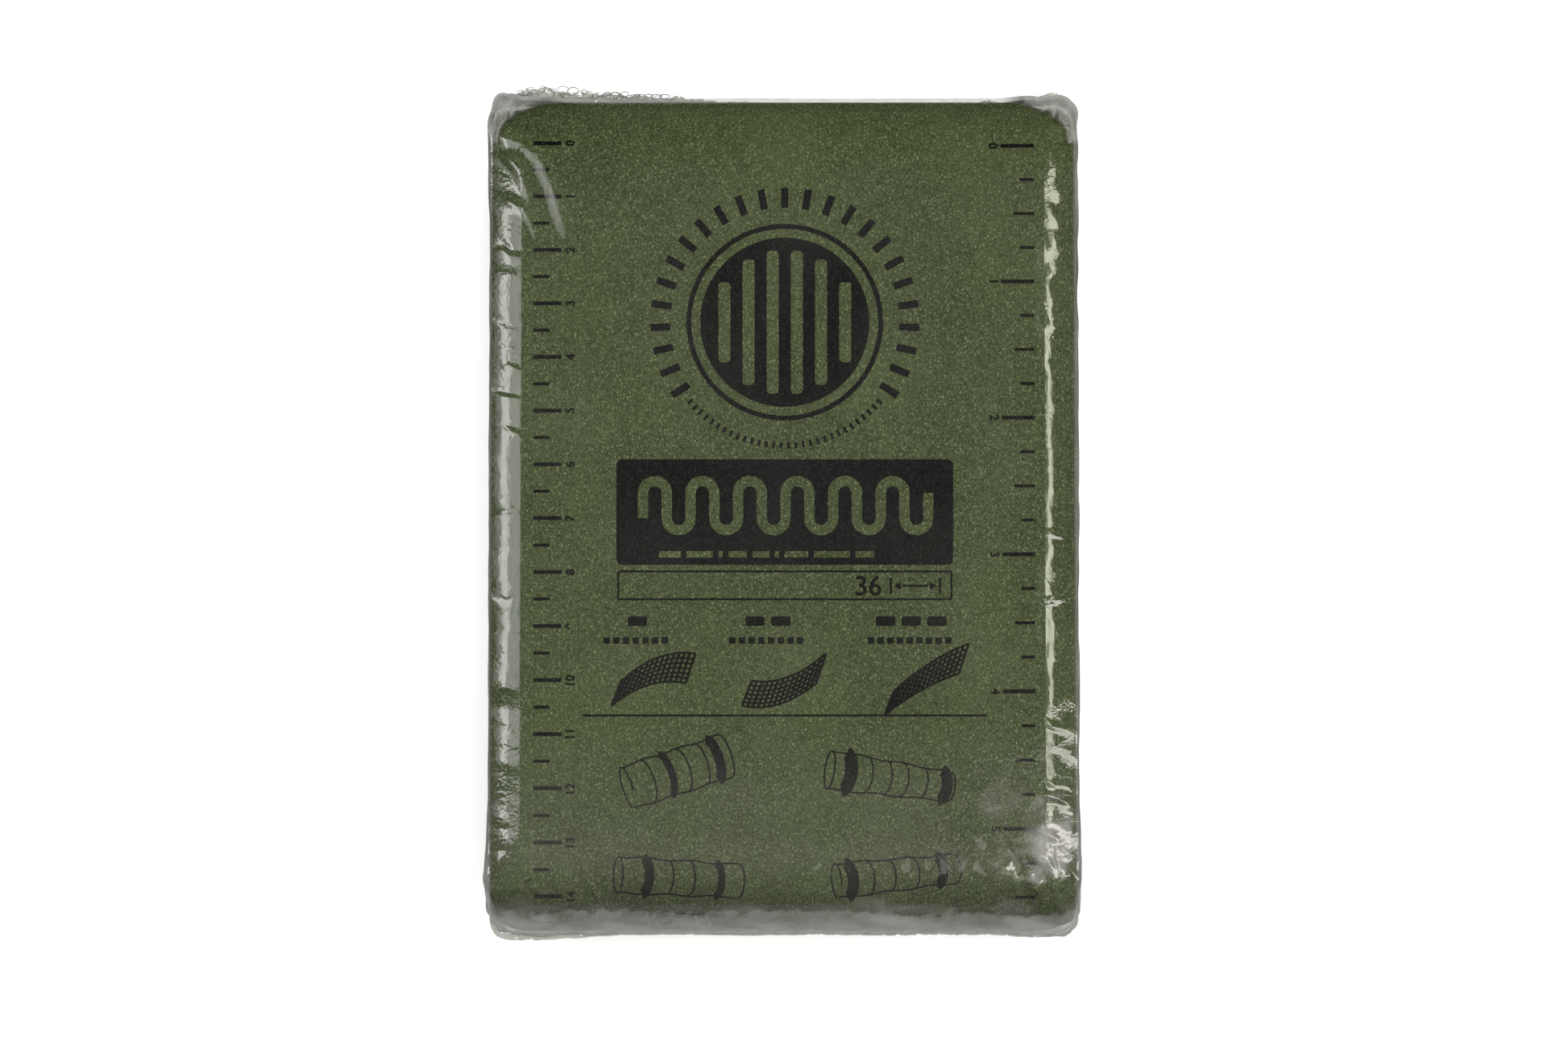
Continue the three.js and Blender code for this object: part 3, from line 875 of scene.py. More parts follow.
def drawingShapes():
    # the sketches, the wrapped tubes and two rows of dashes below them
    solids, lines = sketchShapes()
    for row in sketch["tubes"]:
        lines += tube(*row)
    for row in sketch["captionRows"]:
        lines += dashes(sketch["caption"], row)
    # each line is filled on its own, because where lines cross both stay black
    return [fillShapes(solids)] + [fillShapes([shape]) for shape in lines]


inkPaint = cellMaterial("printInk", inkLook)
for name, shapes in (("rulers", rulerShapes()), ("badge", badgeShapes()),
                     ("panel", panelShapes()), ("drawings", drawingShapes())):
    piece = layInk(name, shapes)
    piece.data.materials.append(inkPaint)
    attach(piece, "root")
    print("stage: print", name, len(piece.data.polygons))

# Film: one closed skin round the roll
film = {
    "lift": 0.00022,        # over the foam
    "foldCorner": 0.0032, "freeCorner": 0.0024,
    "sidesX": 130, "sidesY": 300, "corner": 12,     # points along each side and corner
    "wallRows": 16,         # rings from the middle height to the shoulder
    "shoulderRows": 20,
    "edgeRows": 36,         # close rings on the face, next to the shoulder
    "edgeScale": 0.70,      # share of the face inside them
    "middleRows": 7,
    "wallBulge": 0.00045,   # the walls stand off the layers
    # share of the stand-off kept: free end, left wall, right wall, folded end
    "standFree": 0.02, "standLeft": 0.12, "standRight": 0.6, "standFold": 0.5,
    "tight": 0.00012,       # the film comes closer by this where it keeps little stand-off
    "dip": 0.00005, "dipWidth": 0.0010,      # soft groove along the start of the right band
    "upperRipple": 4 / 3,   # more of the fine ripple at the free end of the right edge
    "deepest": 0.6,         # share of the lift that a dent may take
    "veilCut": 0.7,         # share of the grazing haze taken away along the free end
    "poleScale": 0.004,     # size of the smallest ring on both faces
    "underScale": 0.5,      # and of the next ring on the underside
    "shoulderBend": 1.6,    # rings crowd towards the top of the shoulder
    "foldTips": 0.08,       # share of a pulled fold cut off its bell at each tip
    "crowding": 0.05,       # points stand closer near the corners
}


def filmExtents(height, offset):
    # half extents of the wrapped roll at heights from its middle, moved out by offset:
    # foam faces solved for the inset where they reach that height, round at both ends
    top = halfHeight + offset
    drop = np.clip((top - np.abs(height)) / roll["outerDrop"], 0, 1)
    share = -0.5 + np.sqrt(0.25 + 2 * drop)
    across = halfWidth + offset - roll["edgeBand"] * (1 - np.clip(share, 0, 1))
    fold = np.sqrt(np.clip(top * top - height * height, 0, None))
    flapTop = flapRadius + faceLevel + offset
    over = height - freeCentre
    reach = max(noseRadius, flapReach) + offset
    flapArc = np.sqrt(np.clip(flapTop * flapTop - over * over, 0, None))
    below = np.clip(-over / (noseRadius + offset), 0, 1)
    free = np.where(over > 0, np.minimum(reach, flapArc),
                    reach * np.sqrt(np.clip(1 - below * below, 0, None)))
    return across, foldEnd - fold, freeEnd + free


def filmColumns():
    # weights of each column of points: which share of the half extents, and the outward way
    nx, ny, nc = film["sidesX"], film["sidesY"], film["corner"]
    weights, outs = [], []
    signs = ((1, -1), (1, 1), (-1, 1), (-1, -1))
    for index, (sx, sy) in enumerate(signs):
        angle = -math.pi / 2 + index * math.pi / 2 + np.linspace(0, math.pi / 2, nc + 1)
        weights.append(np.tile([sx, sy], (nc + 1, 1)).astype(float))
        outs.append(np.stack([np.cos(angle), np.sin(angle)], -1))
        nextSign = signs[(index + 1) % 4]
        count = ny if index % 2 == 0 else nx
        share = (np.arange(1, count) / count)[:, None]
        share = share - film["crowding"] * np.sin(2 * math.pi * share)
        weights.append(np.array([sx, sy]) * (1 - share) + np.array(nextSign) * share)
        outs.append(np.tile(outs[-1][-1], (count - 1, 1)))
    return np.concatenate(weights), np.concatenate(outs)


def filmPoints(height, scale, offset):
    # rounded rectangles at heights, all rows at once; scale shrinks a ring to the middle
    weights, outs = filmColumns()
    across, foldY, freeY = filmExtents(height, offset)
    along = (weights[None, :, 1] + 1) / 2
    radius = film["foldCorner"] * (1 - along) + film["freeCorner"] * along
    s = scale[:, None]
    x = weights[None, :, 0] * (across[:, None] - radius) + radius * outs[None, :, 0]
    low, high = foldY[:, None] + film["foldCorner"], freeY[:, None] - film["freeCorner"]
    y = low * (1 - along) + high * along + radius * outs[None, :, 1]
    # rings on the face shrink by the same width on every side, down to a point
    middleY, reachY = (foldY + freeY)[:, None] / 2, (freeY - foldY)[:, None] / 2
    narrow = across[:, None] * (1 - s)
    y = middleY + (y - middleY) * (1 - narrow / reachY)
    z = np.broadcast_to(height[:, None], x.shape)
    return np.stack([x * s, y, z], -1)


def filmRows():
    # heights and scales of all rings, from the underside to the top
    top = halfHeight + film["lift"]
    bend = np.linspace(1, 0, film["shoulderRows"]) ** film["shoulderBend"]
    shoulder = top - roll["outerDrop"] * bend
    wall = np.linspace(0, shoulder[0], film["wallRows"] + 1)[:-1]
    upper = np.concatenate([wall, shoulder])
    edge = np.linspace(1, film["edgeScale"], film["edgeRows"] + 1)[1:]
    inner = np.linspace(film["edgeScale"], film["poleScale"], film["middleRows"] + 1)[1:]
    lower = -np.concatenate([wall[2::3], shoulder[::3], [top]])[::-1]
    height = np.concatenate([[-top, -top], lower, upper, np.full(len(edge) + len(inner), top)])
    under = [film["poleScale"], film["underScale"]]
    scale = np.concatenate([under, np.ones(len(lower) + len(upper)), edge, inner])
    return height, scale


def gridNormals(points):
    # unit normals of a grid that closes round in its second direction
    around = np.roll(points, -1, 1) - np.roll(points, 1, 1)
    up = np.gradient(points, axis=0)
    normal = np.cross(around, up)
    return normal / np.maximum(np.linalg.norm(normal, axis=-1, keepdims=True), 1e-12)


def pictureToLocal(points):
    # picture pixels to across and along of the face, from the roll's middle
    points = np.asarray(points, float)
    return np.stack(fromPicture(points[:, 0], points[:, 1]), -1)


def ridge(x, y, line, width):
    # 1 on a polyline of picture pixels, falling as a bell to both sides and to its ends
    line = pictureToLocal(line)
    best = np.zeros(x.shape)
    lengths = np.linalg.norm(np.diff(line, axis=0), axis=1)
    total, done = lengths.sum(), 0.0
    for start, end, length in zip(line[:-1], line[1:], lengths):
        way = (end - start) / length
        t = np.clip((x - start[0]) * way[0] + (y - start[1]) * way[1], 0, length)
        gap = np.hypot(x - start[0] - way[0] * t, y - start[1] - way[1] * t)
        share = film["foldTips"] + (1 - 2 * film["foldTips"]) * (done + t) / total
        taper = np.sqrt(np.sin(math.pi * np.clip(share, 0, 1)))
        best = np.maximum(best, np.exp(-(gap / (width * (0.5 + 0.5 * taper))) ** 2) * taper)
        done += length
    return best


# pulled folds of the film, in picture pixels: line, half width and height in millimetres
pulls = [
    (((624, 162), (652, 172), (676, 198), (692, 236), (700, 262), (708, 292)), 2.4, 0.62),
    (((630, 194), (646, 212), (658, 240), (664, 266)), 1.5, 0.40),
    (((632, 250), (652, 262), (664, 280), (670, 300)), 1.2, 0.26),
    (((645, 144), (660, 154), (668, 160)), 0.5, 0.2),
    (((656, 160), (672, 166), (676, 170)), 0.5, 0.2),
    (((682, 162), (700, 180), (720, 212)), 0.9, 0.2),
    (((612, 306), (624, 302), (634, 310), (648, 312)), 0.45, -0.16),
    (((611, 482), (628, 486), (648, 490)), 0.5, -0.2),
    (((624, 454), (640, 458), (652, 464)), 0.4, 0.13),
    (((630, 534), (644, 540), (654, 547)), 0.4, 0.13),
    (((613, 395), (630, 402), (646, 404)), 0.45, -0.1),
    (((612, 640), (630, 634), (645, 636)), 0.45, 0.1),
    (((613, 742), (628, 746), (640, 742)), 0.5, -0.12),
    (((612, 858), (626, 852), (640, 858)), 0.45, 0.12),
    (((612, 1018), (626, 1022)), 0.5, 0.24),
    (((612, 1052), (626, 1046), (634, 1050)), 0.5, 0.24),
    (((1317, 206), (1319, 250), (1317, 296)), 2.2, 0.20),
    (((1326, 300), (1327, 318), (1326, 338)), 0.9, 0.07),
    (((1282, 660), (1300, 661), (1322, 666)), 0.5, 0.2),
    (((1280, 738), (1298, 746), (1322, 741)), 0.55, 0.22),
    (((1290, 890), (1306, 902), (1326, 906)), 0.5, 0.16),
    (((1290, 968), (1308, 974), (1328, 976)), 0.5, 0.2),
    (((1266, 982), (1296, 986), (1326, 996)), 0.5, 0.24),
    (((1188, 1018), (1208, 1040), (1220, 1066)), 1.9, 0.24),
    (((1214, 1014), (1234, 1042), (1246, 1074)), 1.7, 0.24),
    (((1204, 1078), (1222, 1086), (1230, 1092)), 0.5, 0.18),
    (((1230, 1074), (1252, 1092), (1296, 1100), (1322, 1090)), 2.0, 0.5),
    (((1262, 1046), (1290, 1047), (1308, 1047)), 0.6, -0.2),
    (((1256, 1052), (1290, 1066), (1316, 1080)), 0.8, 0.3),
    (((1276, 1026), (1294, 1032), (1310, 1040)), 0.6, 0.24),
    (((1307, 1050), (1306, 1066), (1312, 1080)), 0.5, -0.2),
    (((1262, 1000), (1290, 990), (1322, 985)), 0.9, 0.18),
    (((616, 1102), (640, 1104), (664, 1100)), 0.5, 0.2),
    (((640, 1096), (656, 1090), (662, 1086)), 0.4, 0.16),
    (((700, 1128), (760, 1126), (820, 1132)), 0.7, 0.2),
    (((828, 1134), (850, 1146), (868, 1158)), 0.6, 0.3),
    (((900, 1124), (990, 1130), (1060, 1126)), 0.8, 0.2),
    (((1040, 1128), (1100, 1134), (1180, 1144)), 1.0, 0.3),
    (((1158, 1120), (1168, 1134), (1160, 1150)), 0.6, 0.25),
    (((1210, 1130), (1260, 1138), (1320, 1134)), 0.9, 0.3),
]


# where effects start and where they are full, in metres from the roll's middle
zones = {
    "longEdge": (0.0455, 0.0495), "upper": (0.02, 0.055),
    "crushedX": (0.030, 0.042), "crushedY": (-0.040, -0.056), "crushedEnd": (-0.071, -0.062),
    "nose": (-0.062, -0.073),
    "wallCornerX": (0.045, 0.054), "wallCornerY": (0.066, 0.076),
    "sideWall": (0.0495, 0.0525), "sideEnds": (0.068, 0.052),
    "endWall": (0.066, 0.072), "endSides": (0.047, 0.038),
    "high": (0.004, 0.010), "noseHeight": (-0.003, 0.005), "shoulderHeight": (0.008, 0.012),
    # crumple: across the roll, where the painted glare on the crumpled film lies
    "flat": (0.066, 0.060), "crumpleGlare": (0.026, 0.040),
    "turning": (-0.058, -0.066), "turned": (-0.077, -0.073),
    # metres in from the long edge
    "sideHaze": (0.0012, 0.0002), "shoulder": (0.0007, -0.0001),
    "glarePatchEdge": (0.0006, 0.0016), "between": (0.009, 0.014),
    # metres past the end of the flap, past the corner's circle and down from the fold
    "beyond": (0, 0.0004), "endHaze": (-0.001, 0), "close": (-0.0012, -0.0004),
    "web": (-0.0009, -0.0003),
    "noseStart": (0.0090, 0.0097), "noseFull": (0.0104, 0.0148),
    # shares of the half height, slopes in degrees, stand-off, radius of the painted glare patch,
    # tone
    "up": (0.2, 0.9), "noseUp": (-0.5, 0.3), "seamLow": (0.1, 0.5),
    "steep": (35, 80), "veil": (38, 62),
    "drawnTight": (0.4, 0.1), "glarePatch": (1.15, 0.55), "torn": (-0.1, 0.9),
}
# ripples: seed of the draw, number of waves, wavelength in metres, height, and the shares of
# x, y and z in their two directions; heights are millimetres on the skin, shares elsewhere
ripples = {
    "face": (11, 12, 0.034, 0.045, (1, 0, 0), (0, 1, 0)),
    "leftFine": (21, 10, 0.006, 0.025, (0.5, 0, 0), (0, 1, 0)),
    "leftBroad": (22, 8, 0.022, 0.05, (0.3, 0, 0), (0, 1, 0)),
    "rightFine": (23, 12, 0.007, 0.03, (1, 0, 0), (0, 1, 0)),
    "rightBroad": (24, 8, 0.03, 0.08, (0.3, 0, 0), (0, 1, 0)),
    "cornerFine": (25, 9, 0.0055, 0.018, (0.7, -0.3, 0), (0.4, 1.5, 0)),
    "cornerBroad": (26, 9, 0.013, 0.06, (0.5, -0.3, 0), (0, 1, 0)),
    "noseStreak": (31, 14, 0.006, 0.20, (1, 0.35, 0), (0, 0.28, 0.3)),
    "noseFine": (32, 10, 0.003, 0.08, (1, -0.8, 0), (0, 0, 1)),
    "wall": (41, 10, 0.014, 0.28, (1, 1, 0), (0, 0, 0.6)),
    "wallCorner": (42, 10, 0.005, 0.45, (1, 1, 0), (0, 0, 0.4)),
    "seam": (43, 12, 0.004, 0.22, (1, 1, 0), (0, 0, 0.5)),
    "hazeStreak": (51, 14, 0.014, 1.0, (1, 0.6, 0), (0, 0.4, 0)),
    # cloudiness of the painted reflection on the flat face
    "faceReflectionCloud": (52, 12, 0.026, 0.5, (1, 0, 0), (0, 1, 0)),
    "hazeFine": (53, 14, 0.004, 1.0, (0.25, 1, 0), (0, 1.2, 0)),
    # slanted waves that tear the painted glare
    "glareSlant": (54, 10, 0.009, 1.0, (1, -0.5, 0), (0, 1, 0)),
    "hazeWall": (55, 14, 0.006, 0.035, (1, 1, 0), (0, 0, 0.25)),
    # uneven outline of the painted glare patch
    "glarePatchOutline": (56, 12, 0.0035, 0.22, (0.5, 0, 0), (0, 1, 0)),
    "hazeWeb": (57, 10, 0.004, 0.16, (1, 0.5, 0), (1, -1, 0)),
}


def within(name, value):
    # share of a named zone's effect at a place
    return smoothStep(*zones[name], value)


def wave(name, points):
    # a named ripple of points, and its height
    seed, waves, length, height, *directions = ripples[name]
    a, b = (sum(share * points[..., axis] for axis, share in enumerate(row)) for row in directions)
    return ripple(a, b, seed, waves, length), height


def swell(name, points):
    # a named ripple at its height
    value, height = wave(name, points)
    return height * value


def wrinkle(name, points):
    # a named ripple folded to sharp crests: height times 1 less its absolute value
    value, height = wave(name, points)
    return height * (1 - np.abs(value))


def cloudy(name, points):
    # a named ripple held between plus and minus its height
    value, height = wave(name, points)
    return height * np.clip(value, -1, 1)


def standOff(x, y):
    # share of the walls' stand-off: a value for each side, full at the corners
    side = np.where(x < 0, film["standLeft"], film["standRight"])
    end = np.where(y > 0, film["standFree"], film["standFold"])
    alongSide = within("sideWall", np.abs(x)) * within("sideEnds", np.abs(y))
    alongEnd = within("endWall", np.abs(y)) * within("endSides", np.abs(x))
    return 1 - alongSide * (1 - side) - alongEnd * (1 - end)


def creaseFilm(points):
    # moves the skin along its normals: soft swells, ripples along the long edges, pulled
    # folds at two corners, slanted bunching round the folded end and at the wall corners
    x, y, z = (points[..., i] for i in range(3))
    normal = gridNormals(points)
    up = within("up", z / halfHeight)
    slope = np.degrees(np.arccos(np.clip(normal[..., 2], -1, 1)))
    move = mm * swell("face", points) * up
    edge = within("longEdge", np.abs(x)) * up
    left, right = edge * (x < 0), edge * (x > 0)
    # the right edge ripples more towards the free end
    stronger = 1 + film["upperRipple"] * within("upper", y)
    move += mm * left * (swell("leftFine", points) + swell("leftBroad", points))
    move += mm * right * (stronger * swell("rightFine", points) + swell("rightBroad", points))
    corner = within("crushedX", x) * within("crushedY", y) * up
    move += mm * corner * (wrinkle("cornerFine", points) + swell("cornerBroad", points))
    for line, width, height in pulls:
        move += mm * height * ridge(x, y, line, width * mm) * up
    # round the folded end: wrinkles that run up the nose, slanted
    nose = within("nose", y) * within("noseUp", z / halfHeight)
    move += mm * nose * (wrinkle("noseStreak", points) + swell("noseFine", points))
    # walls: they stand off the layers, and crumple towards the seal and the corners
    wall = within("steep", slope) * (np.abs(z) < halfHeight)
    atCorner = within("wallCornerX", np.abs(x)) * within("wallCornerY", np.abs(y))
    stand = standOff(x, y)
    move += stand * film["wallBulge"] * wall * (1 + swell("wall", points))
    move += mm * atCorner * swell("wallCorner", points) * wall
    low = 1 - within("seamLow", np.abs(z) / halfHeight)
    move += mm * stand * low * wall * wrinkle("seam", points)
    # where the film is drawn tight it comes closer still
    move -= film["tight"] * wall * within("drawnTight", stand)
    # the right edge turns over softly
    turnOver = (x - halfWidth + roll["edgeBand"]) / film["dipWidth"]
    move -= film["dip"] * np.exp(-turnOver ** 2) * up
    # the underside stays flat, and the skin never comes closer than a share of its lift
    base = z <= -halfHeight - film["lift"] / 2
    move = np.where(base, 0, np.clip(move, -film["deepest"] * film["lift"], None))
    return points + normal * move[..., None]


# milkiness, and the painted highlight, reflection and glare on the film, as shares, sizes in metres
milk = {
    "squash": 0.92,             # webs: the free corner is shorter by this along the roll
    # rim and the two values after it: a pale line along the round corners of the face, a painted
    # highlight laid over the shade at the foam's edge
    "web": 0.62, "rim": 0.85, "glintPlace": 0.0010, "glintWidth": 0.0003,
    "beyond": 0.45, "shoulder": 0.42, "wall": 0.035,
    # folded end: share, and how far the streaks and the fine waves shift it
    "noseStart": (0.17, 0.0006, 0.0003), "noseFull": (0.22, 0.0010, 0.0005),
    "noseMean": 0.88, "noseStreak": 0.42, "noseFine": 0.30,
    "noseLeast": 0.12, "noseMost": 1.4, "noseUnder": 0.12,
    # crumple: painted glare on the crumpled film at the lower right
    # face, cloud and crushed: a faint haze on the flat face, cloudy and stronger low down, a
    # painted reflection of an overhead light
    "face": 0.012, "cloud": 0.018, "crushed": 0.05, "turning": 0.04, "crumpleGlare": 0.12,
    # the pale crushed patch, a painted glare: middle in picture pixels, half sizes, tear by the
    # slanted waves
    "glarePatch": 0.58, "glarePatchAt": (1307, 1050), "glarePatchSize": (0.0052, 0.0070), "glarePatchTear": 0.12,
}


def hazeAndPaintedGlareMask(points):
    # where the film has gone milky: the strongest of webs beyond the round corners of the
    # face, the ends of the flap, the folded end, walls and shoulders, and a pale line along the
    # round corners that is a painted highlight; plus a faint painted reflection of an overhead
    # light on the face, and painted glare on crumples at the folded end and in a torn patch at its
    # right
    x, y, z = (points[..., i] for i in range(3))
    aside = halfWidth - np.abs(x)
    up, high = within("up", z / halfHeight), within("high", z)
    squash = milk["squash"]
    cornerX = np.clip(roll["endCorner"] - aside, 0, None)
    cornerY = np.clip(y - (flapEnd - roll["endCorner"] * squash), 0, None)
    gap = np.hypot(cornerX, cornerY / squash) - roll["endCorner"]
    atCorner = (cornerX > 0) & (cornerY > 0) & (z > 0)
    web = within("web", gap) * (milk["web"] + cloudy("hazeWeb", points))
    # a pale line just inside the corner outline: a painted highlight that covers the shade at the
    # foam's edge
    rim = milk["rim"] * np.exp(-((gap + milk["glintPlace"]) / milk["glintWidth"]) ** 2)
    beyond = milk["beyond"] * within("beyond", y - flapEnd) * high
    streak, fine = cloudy("hazeStreak", points), cloudy("hazeFine", points)
    nose = 0
    for name in ("noseStart", "noseFull"):
        share, byStreak, byFine = milk[name]
        nose = nose + share * within(name, foldEnd - y + byStreak * streak + byFine * fine)
    uneven = milk["noseMean"] + milk["noseFine"] * fine + milk["noseStreak"] * streak
    nose = nose * np.clip(uneven, milk["noseLeast"], milk["noseMost"])
    nose *= milk["noseUnder"] + (1 - milk["noseUnder"]) * within("noseHeight", z)
    wall = milk["wall"] + cloudy("hazeWall", points)
    wall *= within("sideHaze", aside) + within("endHaze", y - flapEnd)
    shoulder = milk["shoulder"] * within("shoulder", aside) * within("shoulderHeight", z)
    mask = np.maximum.reduce([np.maximum(web, rim) * atCorner * high, beyond, nose, wall, shoulder])
    low = within("crushedY", y) * within("crushedEnd", y)
    # a faint haze on the flat face, cloudy and stronger low down: a painted reflection of an
    # overhead light
    cloud = 0.5 + cloudy("faceReflectionCloud", points)
    face = milk["face"] + milk["cloud"] * cloud + milk["crushed"] * low
    turning = milk["turning"] * within("turning", y) * within("turned", y) * up
    slant = swell("glareSlant", points)
    # painted glare on the crumpled film at the lower right, torn by the slanted waves
    crumpleGlare = milk["crumpleGlare"] * within("crumpleGlare", x) * low * within("torn", slant)
    # a pale torn patch at the lower right: a painted glare
    patchX, patchY = pictureToLocal([milk["glarePatchAt"]])[0]
    sizeX, sizeY = milk["glarePatchSize"]
    far = np.hypot((x - patchX) / sizeX, (y - patchY) / sizeY)
    far += swell("glarePatchOutline", points) + milk["glarePatchTear"] * slant
    glarePatch = milk["glarePatch"] * within("glarePatch", far) * up * within("glarePatchEdge", halfWidth - x)
    return np.clip(mask + face * within("flat", y) + turning + crumpleGlare + glarePatch, 0, 1)


def filmPiece():
    # the creased skin as triangles, with its two masks
    height, scale = filmRows()
    points = creaseFilm(filmPoints(height, scale, film["lift"]))
    index = numbered(points)
    flat = points.reshape(-1, 3)
    # both poles are closed with a fan
    count, ring = len(flat), index.shape[1]
    low = np.stack([index[0], np.full(ring, count), np.roll(index[0], -1)], -1)
    high = np.stack([index[-1], np.roll(index[-1], -1), np.full(ring, count + 1)], -1)
    triangles = np.concatenate([*halved(ringFaces(index[:-1], index[1:])), low, high])
    everything = np.concatenate([flat, flat[index[0]].mean(0)[None], flat[index[-1]].mean(0)[None]])
    piece = newMesh("filmSkin", everything + rollMiddle, triangles)
    # milkiness together with the painted highlight, reflection and glare, for the material to read
    setAttribute(piece, "hazeAndPaintedGlare", hazeAndPaintedGlareMask(everything))
    # walls and the folded end turn milky where they are seen at a slant, the face doesn't,
    # and little of it shows along the free end, where the film lies close
    slope = np.degrees(np.arccos(np.clip(np.abs(gridNormals(points)[..., 2]), 0, 1)))
    aside, past = halfWidth - np.abs(points[..., 0]), points[..., 1] - flapEnd
    close = within("between", aside) * within("close", past)
    veil = within("veil", slope) * (1 - film["veilCut"] * close)
    setAttribute(piece, "veil", np.concatenate([veil.ravel(), [0, 0]]))
    return piece


# noises as scale, detail and roughness, ranges as low and high
filmLook = {
    # grey of the milky film, also the colour of the painted highlight, reflection and glare
    "hazeAndPaintedGlare": (0.215, 0.212, 0.198, 1),
    "sealHaze": (0.33, 0.325, 0.30, 1),
    "clear": (0.98, 0.98, 0.975, 1),
    "index": 1.5, "gloss": 0.06,
    "cells": (1500.0, 2.0, 0.5), "grain": 0.7,      # the foam's cells press through the film
    "soft": (260.0, 4.0, 0.5),
    "bump": 0.13, "depth": 0.0003,
    "streaks": (420.0, 5.0, 0.62), "streakStretch": (1.0, 0.35, 0.6), "streakTurn": 0.3,
    "streakRange": (0.3, 0.7), "unevenRange": (0.72, 1.18),     # of the noise, of the haze
    "grazing": (0.42, 0.86),    # how far the view is turned from the film's normal
    "grazingHaze": 0.98, "grazingDull": 0.85,
    "holes": (1100.0, 1.0, 0.5), "holeRange": (0.72, 0.68),
    "tear": 0.16, "tearPower": 2.5,                 # more holes towards the free edge
    "extraSeal": 0.78, "extraThread": 0.8,          # haze of the seal and of its threads
}


def filmMaterial(name, tint, extraHaze=0.0, masked=False, lace=False):
    # clear film: see-through, a mirror gloss by Fresnel, a grey haze from the mask and at
    # grazing views, where the mask also paints highlight, reflection and glare on the film; lace
    # opens holes towards the free edge of the seal
    made, tree = material(name)
    where = objectPlace(tree)
    cells, soft = noise(tree, where, filmLook["cells"]), noise(tree, where, filmLook["soft"])
    slanted = stretched(tree, where, filmLook["streakStretch"], filmLook["streakTurn"])
    streaks = noise(tree, slanted, filmLook["streaks"])
    normal = bumpNode(tree, weighted(tree, cells, filmLook["grain"], soft),
                      filmLook["bump"], filmLook["depth"])
    facing = node(tree, "ShaderNodeLayerWeight", {"Blend": 0.5}).outputs["Facing"]
    grazing = ramp(tree, facing, *filmLook["grazing"])
    hazeAndPaintedGlare = weighted(tree, grazing, filmLook["grazingHaze"], extraHaze)
    if masked:
        hazeAndPaintedGlare = mathNode(tree, "MULTIPLY", hazeAndPaintedGlare, attributeNode(tree, "veil"))
        # the mask adds the milky film and the painted highlight, reflection and glare
        hazeAndPaintedGlare = mathNode(tree, "MAXIMUM", hazeAndPaintedGlare, attributeNode(tree, "hazeAndPaintedGlare"))
    (low, high), (least, most) = filmLook["streakRange"], filmLook["unevenRange"]
    uneven = node(tree, "ShaderNodeMapRange", {
        "Value": streaks, "From Min": low, "From Max": high, "To Min": least, "To Max": most})
    hazeAndPaintedGlare = mathNode(tree, "MULTIPLY", hazeAndPaintedGlare, uneven.outputs["Result"], clamp=True)
    dull = mathNode(tree, "MULTIPLY", grazing, filmLook["grazingDull"])
    dull = mathNode(tree, "SUBTRACT", 1.0, dull)
    fresnel = node(tree, "ShaderNodeFresnel", {"IOR": filmLook["index"], "Normal": normal})
    mirror = mathNode(tree, "MULTIPLY", fresnel.outputs[0], dull)
    clear = node(tree, "ShaderNodeBsdfTransparent", {"Color": filmLook["clear"]})
    grey = node(tree, "ShaderNodeBsdfDiffuse", {"Color": tint})
    gloss = node(tree, "ShaderNodeBsdfGlossy", {"Roughness": filmLook["gloss"], "Normal": normal})
    final = mixShader(tree, mirror, mixShader(tree, hazeAndPaintedGlare, clear, grey), gloss)
    if lace:
        holes = noise(tree, where, filmLook["holes"])
        far = mathNode(tree, "POWER", attributeNode(tree, "edge"), filmLook["tearPower"])
        shown = ramp(tree, weighted(tree, far, filmLook["tear"], holes), *filmLook["holeRange"])
        final = mixShader(tree, shown, node(tree, "ShaderNodeBsdfTransparent"), final)
    paintWith(tree, final)
    return made


filmPaint = filmMaterial("clearFilm", filmLook["hazeAndPaintedGlare"], masked=True)
filmSkin = filmPiece()
filmSkin.data.materials.append(filmPaint)
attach(filmSkin, "root")
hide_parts("shrink_film")
print("stage: film", len(filmSkin.data.polygons))

# Seal: a ruffled ribbon that stands out from the film at its middle height
seal = {
    "height": 0.0012,       # over the roll's middle
    "points": 2200, "across": 10,
    "thick": 0.00009,
    # width along the free end by picture x, in millimetres
    "freeX": (604, 620, 640, 670, 690, 720, 760, 800, 835,
              880, 970, 1210, 1228, 1242, 1280, 1300, 1326, 1340),
    "freeWidth": (0.5, 1.9, 2.7, 3.6, 3.2, 2.9, 2.5, 2.0, 1.7,
                  0.9, 0.2, 0.2, 1.2, 0.2, 0.6, 1.8, 1.6, 0.5),
    "foldX": (604, 612, 640, 690, 770, 840, 930, 1010, 1100, 1200, 1280, 1310, 1334, 1342),
    "foldWidth": (0.6, 1.2, 1.0, 1.1, 0.3, 0.2, 0.4, 0.2, 0.4, 0.1, 0.5, 0.4, 0.5, 0.2),
    "left": 0.12, "right": 0.35,
    "narrowX": (620, 836), "narrow": 0.8,   # the ribbon is narrower behind the threads
    "root": -0.25,          # the ribbon starts inside the film, as a share of the width
    "ruffle": 0.22,         # waves up and down, as a share of the width
    # seed, number of waves, wavelength in metres, height as a share
    "waver": (61, 10, 0.005, 0.10), "fineWaver": (62, 10, 0.002, 0.05),
    "broadRuffle": (63, 8, 0.005, 0.8), "fineRuffle": (64, 8, 0.0024, 0.4),
    "ruffleShift": 0.01,    # how far the fine waves shift across the ribbon
}
